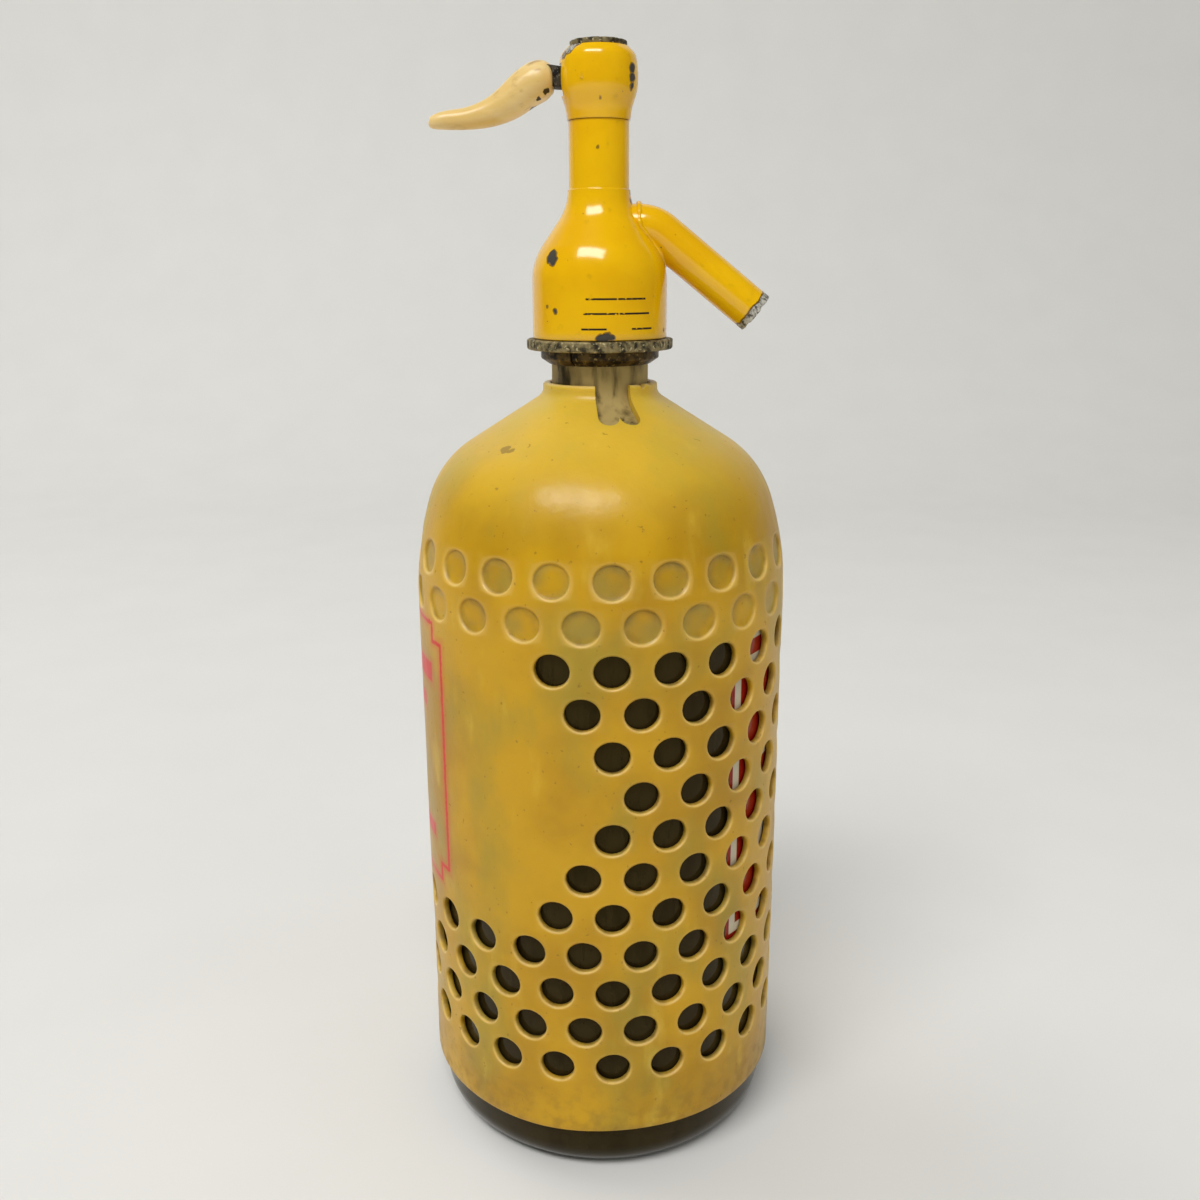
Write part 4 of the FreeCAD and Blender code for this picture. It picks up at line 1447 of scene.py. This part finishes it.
@dataclass
class Bottle:
    """The thick glass bottle: foot ring, heel, wall, neck and beaded mouth."""

    shoulder: Shoulder
    inset: float = 2.3
    glass: float = 5.0
    heel_r: float = 9.0
    foot_r: float = 37.0
    punt: float = 5.0
    floor: float = 12.0
    bead_r: float = 15.3
    bead_low: float = 232.5
    bead_top: float = 238.0

    def outline(self) -> np.ndarray:
        """Return the closed outline, from the punt's middle out over the mouth to the inner floor.

        Returns:
            Radius and height pairs.
        """
        outer_r = self.shoulder.radius - self.inset
        inner_r = outer_r - self.glass
        t = np.linspace(0.0, 1.0, 14)[:, None]
        punt = np.concatenate([t * self.foot_r, self.punt * (1 - t**2)], axis=1)
        heel = arc_points((outer_r - self.heel_r, self.heel_r), self.heel_r, -90.0, 0.0, 14)
        side = self.shoulder.side(self.inset, self.heel_r + 8.0, self.bead_low)
        neck_r = self.shoulder.top_r - self.inset
        bore_r = neck_r - self.glass
        mouth = corners(
            (neck_r, self.bead_low - 2.0), (neck_r, self.bead_low), (self.bead_r, self.bead_low),
            (self.bead_r, self.bead_top), (bore_r, self.bead_top), (bore_r, self.bead_low), edge=1.0,
        )
        inner_low = self.floor + self.heel_r
        inner = self.shoulder.side(self.inset + self.glass, inner_low, self.bead_low - 1.0)[::-1]
        base = arc_points((inner_r - self.heel_r, self.floor + self.heel_r), self.heel_r, 0.0, -90.0, 12)
        middle = np.array([[0.0, self.floor]])
        return np.concatenate([punt, heel, side[:-1], mouth, inner, base[1:], middle])

    def build(self) -> bpy.types.Object:
        """Return the bottle.

        Returns:
            The object, linked to the scene.
        """
        waves = [(0.05, 2, 70.0, 0.0), (0.04, 5, 40.0, 1.0)]

        def swell(turn: np.ndarray, radius: np.ndarray, height: np.ndarray) -> tuple:
            """Press slow waves into the glass, none of them outwards and none in its middle.

            Args:
                turn: azimuths in radians.
                radius: radii in mm.
                height: heights in mm.

            Returns:
                The steps in radius and height, in mm.
            """
            fade = np.clip(radius / 12.0, 0.0, 1.0)
            return (ripple(turn, height, waves) - 0.09) * fade, 0.0 * height

        grid = turned(self.outline(), ring_azimuths(192), swell)
        piece = make_mesh("bottle", [grid_patch(grid, True)], 60.0)
        return dress(piece, BottleGlass().material(), Body.SIPHON.value, "glass", "bottle")


@dataclass
class Head:
    """The painted head: bell and neck, lever housing and spout."""

    bell_r: float = 18.3
    bell_low: float = 231.3
    bell_turn: float = 246.0
    bell_arc: float = 17.0
    bell_slope: float = 35.0
    top_arc: float = 14.0
    bell_top_r: float = 8.3
    bell_top: float = 269.6
    neck_r: float = 8.0
    neck_top: float = 286.7
    cavity_r: float = 16.0
    ceiling: float = 240.2
    housing_top: float = 304.4
    housing: tuple = (
        (8.3, 286.7), (8.8, 289.9), (10.05, 293.9), (10.3, 297.8), (9.75, 302.2), (8.0, 304.4),
    )
    spout_r: float = 5.65
    spout_wall: float = 2.05
    spout_z: float = 260.5
    spout_socket: float = 8.0
    spout_bend_x: float = 14.1
    spout_bend_r: float = 10.0
    spout_slope: float = 38.9
    spout_run: float = 36.5

    def paint(self) -> bpy.types.Material:
        """Return the head's paint with its chips, at places on the bell, neck, bulb and spout.

        Returns:
            The material.
        """
        end = self.spout_path(60)[-1]
        turn = math.radians(self.spout_slope)
        down = (math.cos(turn), 0.0, -math.sin(turn))
        chips = (
            (-12.6, -11.6, 252.6, 1.7), (-11.9, -12.4, 251.4, 1.3), (1.6, -18.2, 232.3, 1.3),
            (0.2, -18.3, 232.0, 1.2), (3.0, -18.1, 232.0, 0.9), (-11.8, -14.0, 238.8, 0.6),
            (8.7, -5.5, 298.6, 1.2), (8.6, -5.6, 296.4, 1.15), (8.4, -5.6, 294.4, 0.85),
            (7.0, -1.6, 268.4, 1.1), (8.6, -2.4, 266.6, 0.7), (17.3, -6.0, 233.4, 0.5),
            (-0.4, -8.0, 279.4, 0.22), (0.4, -9.8, 291.2, 0.24), (-13.6, -12.2, 239.8, 0.3),
        )
        worn = ((-7.0, -5.2, 303.6, 1.7), (-7.8, -4.0, 302.0, 1.3), (-5.2, -6.4, 304.6, 0.9))
        cut = (((end[0] - 1.5, -1.0, end[1] + 1.4), down),)
        rules = ((14.7, 8.5, 241.9, 0.0), (15.9, 9.5, 238.2, 0.0), (16.5, 10.3, 234.3, 3.3))
        seams = ((self.neck_top, 0.35), (self.bell_top, 0.3), (self.bell_low, 0.8))
        return GlossPaint(chips=chips, worn=worn, cut=cut, rules=rules, seams=seams).material()

    def bell_side(self, steps: int) -> np.ndarray:
        """Return the bell's side, which has the shape of a small shoulder.

        Args:
            steps: points on each arc.

        Returns:
            Radius and height pairs.
        """
        arcs = ((self.bell_arc, self.bell_slope),)
        form = Shoulder(self.bell_r, self.bell_turn, arcs, self.top_arc, self.bell_top_r)
        return form.side(0.0, self.bell_low, self.bell_top, steps)

    def bell_outline(self) -> np.ndarray:
        """Return the bell's and the neck's outline, up the outside and down the cavity.

        Returns:
            Radius and height pairs.
        """
        side = self.bell_side(22)
        side = side[(side[:, 1] > self.bell_low + 1.0) & (side[:, 1] < self.bell_top - 0.3)]
        foot = corners(
            (self.cavity_r, self.bell_low + 1.0), (self.cavity_r, self.bell_low),
            (self.bell_r, self.bell_low), (self.bell_r, self.bell_low + 2.0),
        )
        neck = corners(
            (side[-1, 0], side[-1, 1]), (self.bell_top_r, self.bell_top - 0.1),
            (self.neck_r, self.bell_top + 0.15), (self.neck_r, self.neck_top), (0.0, self.neck_top),
        )
        cavity = np.array([[0.0, self.ceiling], [self.cavity_r, self.ceiling]])
        return np.concatenate([cavity, foot, side, neck[1:]])

    def bell_radius(self, height: np.ndarray) -> np.ndarray:
        """Return the bell's outer radius at some heights.

        Args:
            height: heights in mm.

        Returns:
            The radii, in mm.
        """
        side = self.bell_side(40)
        return np.interp(height, side[:, 1], side[:, 0])

    def spout_path(self, count: int) -> np.ndarray:
        """Return X and Z of the spout's centre line: a level stub, an arc and a straight slope.

        Args:
            count: points on the straight slope.

        Returns:
            X and Z pairs.
        """
        turn = math.radians(self.spout_slope)
        reach = self.spout_bend_r * math.tan(turn / 2)
        corner = np.array([self.spout_bend_x, self.spout_z])
        start = np.array([[self.spout_socket, self.spout_z]])
        centre = (corner[0] - reach, corner[1] - self.spout_bend_r)
        bend = arc_points(centre, self.spout_bend_r, 90.0, 90.0 - self.spout_slope, 16)
        down = np.array([math.cos(turn), -math.sin(turn)])
        run = corner + np.linspace(reach, self.spout_run, count)[1:, None] * down
        return np.concatenate([start, bend, run])

    def spout(self) -> bpy.types.Object:
        """Return the spout: the outer skin, its sawn end and the bore.

        Returns:
            The object, linked to the scene.
        """
        path = self.spout_path(60)
        outer = swept(path, np.full(len(path), self.spout_r), 96)
        bore = swept(path, np.full(len(path), self.spout_r - self.spout_wall), 96)
        turn = np.linspace(0.0, 2 * math.pi, 96, endpoint=False)
        nick = 0.32 * np.clip(ripple(turn, 0.0 * turn, [(0.8, 5, 1.0, 0.6), (0.6, 11, 1.0, 2.0)]), 0.0, 1.5)
        down = path[-1] - path[-2]
        down /= np.linalg.norm(down)
        for grid, share in ((outer, 1.0), (bore, 0.6)):
            grid[-1, :, 0] -= down[0] * nick * share
            grid[-1, :, 2] -= down[1] * nick * share
        end = np.linspace(outer[-1], bore[-1], 5)
        back = np.linspace(outer[0], bore[0], 2)
        patches = [grid_patch(grid, True) for grid in (outer, bore, end, back)]
        return make_mesh("spout", patches)

    def solder(self) -> bpy.types.Object:
        """Return the bead of solder along the curve where the spout leaves the bell.

        For each angle round the tube, the tube's straight generators are followed outwards to the
        first point whose distance from the axis passes the bell's radius at its height. A small
        circle with an uneven radius is carried round the closed curve of these points.

        Returns:
            The object, linked to the scene.
        """
        path = self.spout_path(160)
        skin = swept(path, np.full(len(path), self.spout_r), 120)
        away = np.hypot(skin[..., 0], skin[..., 1]) - self.bell_radius(skin[..., 2])
        first = np.argmax(away > 0.0, axis=0)
        curve = skin[first, np.arange(120)]
        soft = sum(np.roll(curve, shift, axis=0) for shift in range(-3, 4)) / 7
        tangent = np.roll(soft, -1, axis=0) - np.roll(soft, 1, axis=0)
        tangent /= np.linalg.norm(tangent, axis=1)[:, None]
        outward = soft * np.array([1.0, 1.0, 0.0])
        outward /= np.linalg.norm(outward, axis=1)[:, None]
        side = np.cross(tangent, outward)
        side /= np.linalg.norm(side, axis=1)[:, None]
        up = np.cross(side, tangent)
        turn = np.linspace(0.0, 2 * math.pi, 14, endpoint=False)[None, :, None]
        around = np.linspace(0.0, 2 * math.pi, 120, endpoint=False)
        size = 0.6 + ripple(around, 0.0 * around, [(0.14, 7, 1.0, 0.0), (0.1, 13, 1.0, 1.2)])
        circle = np.cos(turn) * side[:, None] + np.sin(turn) * up[:, None]
        ring = soft[:, None] + size[:, None, None] * circle
        closed = np.concatenate([ring, ring[:1]])
        return make_mesh("solder_bead", [grid_patch(closed, True)])

    def bulb(self) -> bpy.types.Object:
        """Return the lever housing's outer skin and hollow, with the window for the lever.

        Returns:
            The object, linked to the scene.
        """
        skin = smooth_line(np.array(self.housing), 48)
        top = corners(
            (skin[-2, 0], skin[-2, 1]), (8.0, self.housing_top), (6.45, self.housing_top), (6.45, 302.0),
            (7.0, 302.0), (7.0, 290.0), (0.0, 290.0),
        )
        base = np.array([[0.0, self.neck_top], [skin[0, 0] - 0.2, self.neck_top]])
        outline = np.concatenate([base, skin[:-1], top[1:]])
        piece = make_mesh("lever_housing", [grid_patch(turned(outline, ring_azimuths(160)), True)])
        low, high = 292.5, 300.3
        box = np.array([[-14.0, -3.5], [-5.0, -3.5], [-5.0, 3.5], [-14.0, 3.5]])
        subtract(piece, prism("window_cutter", box, low, high))
        tidy(piece.data)
        piece.data.set_sharp_from_angle(angle=math.radians(40.0))
        return piece

    def build(self) -> None:
        """Build the head's pieces."""
        paint = self.paint()
        bell = make_mesh("head_bell", [grid_patch(turned(self.bell_outline(), ring_azimuths(192)), True)])
        dress(bell, paint, Body.SIPHON.value, "head_paint", "head_body")
        dress(self.bulb(), paint, Body.SIPHON.value, "head_paint", "lever_housing")
        dress(self.spout(), paint, Body.SIPHON.value, "head_paint", "spout_tube")
        dress(self.solder(), paint, Body.SIPHON.value, "head_paint")
        dress(smoothed_copy("pivot_pin", "pivot_pin_end"), paint, Body.SIPHON.value, "steel", "pivot_pin")


@dataclass
class Collars:
    """The metal rings under the head and the cap on top of it."""

    ring_r: float = 20.1
    ring_low: float = 228.3
    ring_high: float = 231.2
    ring_bore: float = 15.95
    flange_r: float = 16.2
    flange_low: float = 226.0
    spigot_r: float = 15.9
    bore_r: float = 13.6
    bead_low: float = 232.5
    chamfer: float = 1.6
    split_azimuth: float = -28.0
    notches: int = 48
    cap_r: float = 7.45
    cap_low: float = 304.4
    cap_top: float = 306.0

    def lock_ring(self) -> bpy.types.Object:
        """Return the lock ring, whose outer edge is nicked all round by worn notches.

        The edge moves in by a clipped cosine of the azimuth, one crest per notch, with a slower
        wave that makes some notches deeper than others.

        Returns:
            The object, linked to the scene.
        """
        outline = corners(
            (self.ring_bore, self.ring_high), (self.ring_bore, self.ring_low),
            (self.ring_r - 0.1, self.ring_low), (self.ring_r, self.ring_high),
            (self.ring_bore, self.ring_high), edge=0.7, steps=6,
        )

        def swell(turn: np.ndarray, radius: np.ndarray, height: np.ndarray) -> tuple:
            """Nick the outer edge and leave the rest of the ring alone.

            Args:
                turn: azimuths in radians.
                radius: radii in mm.
                height: heights in mm.

            Returns:
                The steps in radius and height, in mm.
            """
            outer = np.clip((radius - self.ring_r + 1.2) / 1.2, 0.0, 1.0)
            tooth = np.clip(np.cos(self.notches * turn), 0.1, 1.0) - 0.1
            uneven = 0.5 + ripple(turn, 0.0 * height, [(0.3, 5, 1.0, 0.4), (0.25, 9, 1.0, 2.0)])
            inward = outer * (0.42 * tooth * uneven + 0.06)
            return -inward, -0.12 * outer * (1 + np.sin(7 * turn + 1.0)) * (height - self.ring_low) / 2.9

        grid = turned(outline, ring_azimuths(720), swell)
        return make_mesh("lock_ring", [grid_patch(grid, True)])

    def half_collar(self, name: str, start: float) -> bpy.types.Object:
        """Return one half of the split collar, from an azimuth half way round to the other split.

        Args:
            name: the name to give it.
            start: azimuth of its first split, in degrees.

        Returns:
            The object, linked to the scene.
        """
        outline = corners(
            (self.bore_r, self.bead_low), (self.bore_r, self.flange_low - self.chamfer),
            (self.bore_r + 0.2, self.flange_low - self.chamfer), (self.flange_r, self.flange_low),
            (self.flange_r, self.ring_low), (self.spigot_r, self.ring_low), (self.spigot_r, self.bead_low),
            (self.bore_r, self.bead_low), edge=0.3,
        )
        azimuths = np.linspace(start + 0.9, start + 179.1, 96)

        def swell(turn: np.ndarray, radius: np.ndarray, height: np.ndarray) -> tuple:
            """Draw a shallow groove round the flange's edge.

            Args:
                turn: azimuths in radians.
                radius: radii in mm.
                height: heights in mm.

            Returns:
                The steps in radius and height, in mm.
            """
            groove = np.exp(-(((height - 227.4) / 0.22) ** 2)) * (radius > 16.0)
            return -0.22 * groove, 0.0 * height

        grid = turned(outline, azimuths, swell)
        middle = np.array([14.8, 229.0])
        ends = []
        for index in (0, -1):
            spread = turned(np.repeat(middle[None], len(outline), axis=0), azimuths[[index]])
            ends.append(grid_patch(np.stack([grid[:, index], spread[:, 0]], axis=0), False))
        return make_mesh(name, [grid_patch(grid, False)] + ends)

    def cap(self) -> bpy.types.Object:
        """Return the cap: a flat disc with a bruised rim.

        Returns:
            The object, linked to the scene.
        """
        outline = corners(
            (0.0, self.cap_low), (self.cap_r, self.cap_low), (self.cap_r, self.cap_top - 0.2),
            (self.cap_r - 1.4, self.cap_top), (self.cap_r - 1.9, self.cap_top - 0.3),
            (0.0, self.cap_top - 0.35), edge=0.35,
        )

        def swell(turn: np.ndarray, radius: np.ndarray, height: np.ndarray) -> tuple:
            """Bruise the rim by short waves.

            Args:
                turn: azimuths in radians.
                radius: radii in mm.
                height: heights in mm.

            Returns:
                The steps in radius and height, in mm.
            """
            rim = np.clip((radius - self.cap_r + 1.5) / 1.5, 0.0, 1.0)
            bruise = np.clip(ripple(turn, height, [(0.12, 9, 3.0, 0.0), (0.1, 17, 2.0, 1.0)]), 0.0, 1.0)
            return -rim * bruise, -rim * bruise * 0.8

        return make_mesh("housing_cap", [grid_patch(turned(outline, ring_azimuths(160), swell), True)])

    def build(self) -> None:
        """Build the rings and the cap."""
        zinc = WeatheredMetal(
            "cast_zinc", "#8E8058", "#2C2618", "#C6B98C", 0.5, 0.45, 2.0, 0.35
        ).material()
        brass = WeatheredMetal(
            "stained_brass", "#5E4A22", "#231A0E", "#97804A", 0.42, 0.75, 2.6, 0.2
        ).material()
        dress(self.lock_ring(), zinc, Body.SIPHON.value, "ring_zinc", "lock_ring")
        front = self.half_collar("split_collar_front", self.split_azimuth)
        dress(front, brass, Body.SIPHON.value, "collar_brass", "split_collar_front")
        rear = self.half_collar("split_collar_rear", self.split_azimuth + 180.0)
        dress(rear, brass, Body.SIPHON.value, "collar_brass", "split_collar_rear")
        dress(self.cap(), zinc, Body.SIPHON.value, "cap_zinc", "housing_cap")


@dataclass
class Lever:
    """The lever: an ivory horn on a corroded metal arm."""

    stations: tuple = (
        (-44.6, 286.5, 0.6), (-43.8, 286.5, 3.0), (-40.4, 287.0, 4.6), (-34.0, 287.5, 5.6),
        (-28.3, 288.9, 7.1), (-23.4, 291.3, 8.7), (-19.0, 294.5, 9.8), (-15.4, 296.5, 10.0),
        (-12.7, 297.3, 7.8), (-11.4, 297.5, 3.0),
    )
    flatten: float = 1.12

    def grip(self) -> bpy.types.Object:
        """Return the horn: ovals carried along a smooth curve through its stations.

        Returns:
            The object, linked to the scene.
        """
        line = smooth_line(np.array(self.stations), 120)
        grid = swept(line[:, :2], line[:, 2] / 2, 72, self.flatten)
        ends = []
        for index in (0, -1):
            middle = np.repeat(grid[index].mean(axis=0)[None], grid.shape[1], axis=0)
            ends.append(grid_patch(np.stack([grid[index], middle]), True))
        return make_mesh("lever_grip", [grid_patch(grid, True)] + ends, 70.0)

    def build(self) -> None:
        """Build the grip and dress the arm."""
        dress(self.grip(), AgedCasein().material(), Body.LEVER.value, "ivory_plastic", "lever_grip")
        rust = WeatheredMetal(
            "corroded_iron", "#4E463A", "#1F1A15", "#8E8877", 0.72, 0.45, 1.3, 0.45
        ).material()
        arm = smoothed_copy("lever_arm", "lever_arm_bar")
        dress(arm, rust, Body.LEVER.value, "lever_zinc", "lever_arm")


def dress_inner_pieces() -> None:
    """Give the pieces inside the head and the bottle their materials."""
    brass = WeatheredMetal(
        "turned_brass", "#A8925A", "#6E5C34", "#C9B680", 0.3, 0.9, 4.0, 0.03
    ).material()
    rubber = PlainStuff("black_rubber", "#1C1A18", "#0E0D0C", 0.75).material()
    tube = PlainStuff("milky_polythene", "#D8D6C8", "#BDB9A6", 0.4).material()
    wire = PlainStuff("spring_wire", "#8C8A86", "#5A5854", 0.32, 1.0).material()
    finishes = {
        "mouth_gasket": rubber, "valve_washer": rubber, "packing_washer": rubber, "tube_ferrule": brass,
        "valve_seat": brass, "gland_nut": brass, "valve_stem": brass, "washer_nut": brass,
        "spring_seat": brass, "stem_nut": brass, "dip_tube": tube, "valve_spring": wire,
    }
    for node, material in finishes.items():
        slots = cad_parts[node].material_slots
        for slot in slots:
            slot.material = material
        LOG.info("%s: dressed", node)


# Studio


@dataclass
class Studio:
    """The floor, the lamps and the camera."""

    camera_at: tuple = (0.0, -333.4, 250.1)
    pitch: float = 15.7
    roll: float = -0.28
    yaw: float = 0.05
    lens: float = 35.63
    floor_colour: str = "#D9D8D4"

    def camera(self) -> None:
        """Place the camera where the photograph was taken from."""
        data = bpy.data.cameras.new("camera")
        data.lens = self.lens
        data.sensor_width = 36.0
        data.clip_start = 0.01
        camera = bpy.data.objects.new("camera", data)
        camera.location = Vector(self.camera_at) * MM
        aim = Euler((math.radians(90.0 - self.pitch), 0.0, math.radians(self.yaw)), "XYZ").to_matrix()
        tilt = Euler((0.0, 0.0, math.radians(self.roll)), "XYZ").to_matrix()
        camera.rotation_euler = (aim @ tilt).to_euler()
        bpy.context.scene.collection.objects.link(camera)
        bpy.context.scene.camera = camera

    def floor(self) -> None:
        """Lay a pale floor that curves up into a backdrop behind the siphon."""
        graph = Graph("pale_paper")
        mottle = graph.noise(60.0, 2.0).outputs[0]
        colour = graph.blend(mottle, srgb(self.floor_colour), srgb("#DEDDD9"))
        graph.shade(Base_Color=colour, Roughness=0.85)
        x = np.linspace(-3000.0, 3000.0, 3)
        turn = np.radians(np.linspace(0.0, 90.0, 24))
        y = np.concatenate([[-3000.0], 900.0 + 600.0 * np.sin(turn), [1500.0]])
        z = np.concatenate([[0.0], 600.0 * (1 - np.cos(turn)), [3000.0]])
        points = np.stack(np.broadcast_arrays(x[None], y[:, None], z[:, None]), axis=2)
        piece = make_mesh("floor", [grid_patch(points)], 60.0)
        piece.data.materials.append(graph.material)

    def lamp(
        self, name: str, place: tuple, aim: tuple, size: tuple, power: float, mirrored: bool = True
    ) -> None:
        """Hang a soft rectangular lamp, aimed at a point.

        Args:
            name: the lamp's name.
            place: where it hangs, in mm.
            aim: the point that it faces, in mm.
            size: its width and height, in mm.
            power: its power in watts.
            mirrored: whether glossy surfaces show it.
        """
        data = bpy.data.lights.new(name, "AREA")
        data.shape = "RECTANGLE"
        data.size = size[0] * MM
        data.size_y = size[1] * MM
        data.energy = power
        lamp = bpy.data.objects.new(name, data)
        lamp.location = Vector(place) * MM
        lamp.rotation_euler = (Vector(aim) - Vector(place)).to_track_quat("-Z", "Y").to_euler()
        lamp.visible_glossy = mirrored
        bpy.context.scene.collection.objects.link(lamp)

    def build(self) -> None:
        """Set up the light, the floor and the world."""
        self.floor()
        middle = (0.0, 0.0, 170.0)
        self.lamp("key", (-540.0, -1440.0, 2280.0), middle, (1860.0, 780.0), 52.0)
        self.lamp("fill", (1860.0, -1260.0, 1260.0), middle, (1800.0, 1800.0), 6.0, False)
        self.lamp("back", (-1200.0, 700.0, 1900.0), middle, (1200.0, 1200.0), 12.0, False)
        world = bpy.data.worlds.new("studio")
        world.use_nodes = True
        tree = world.node_tree
        background = tree.nodes["Background"]
        background.inputs[0].default_value = srgb("#F4F4F2")
        seen = tree.nodes.new("ShaderNodeLightPath")
        strength = tree.nodes.new("ShaderNodeMapRange")
        strength.inputs["To Min"].default_value = 0.34
        strength.inputs["To Max"].default_value = 0.06
        tree.links.new(seen.outputs["Is Glossy Ray"], strength.inputs["Value"])
        tree.links.new(strength.outputs[0], background.inputs[1])
        bpy.context.scene.world = world
        bpy.context.scene.view_settings.view_transform = "Standard"


def main() -> None:
    """Build the siphon and its studio; each dressed piece's face count is logged."""
    logging.basicConfig(level=logging.INFO, format="%(name)s %(message)s")
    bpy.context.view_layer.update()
    studio = Studio()
    studio.camera()
    shoulder = Shoulder()
    Bottle(shoulder).build()
    Sleeve(shoulder).build()
    Head().build()
    Collars().build()
    Lever().build()
    dress_inner_pieces()
    studio.build()


if __name__ == "__main__":
    main()
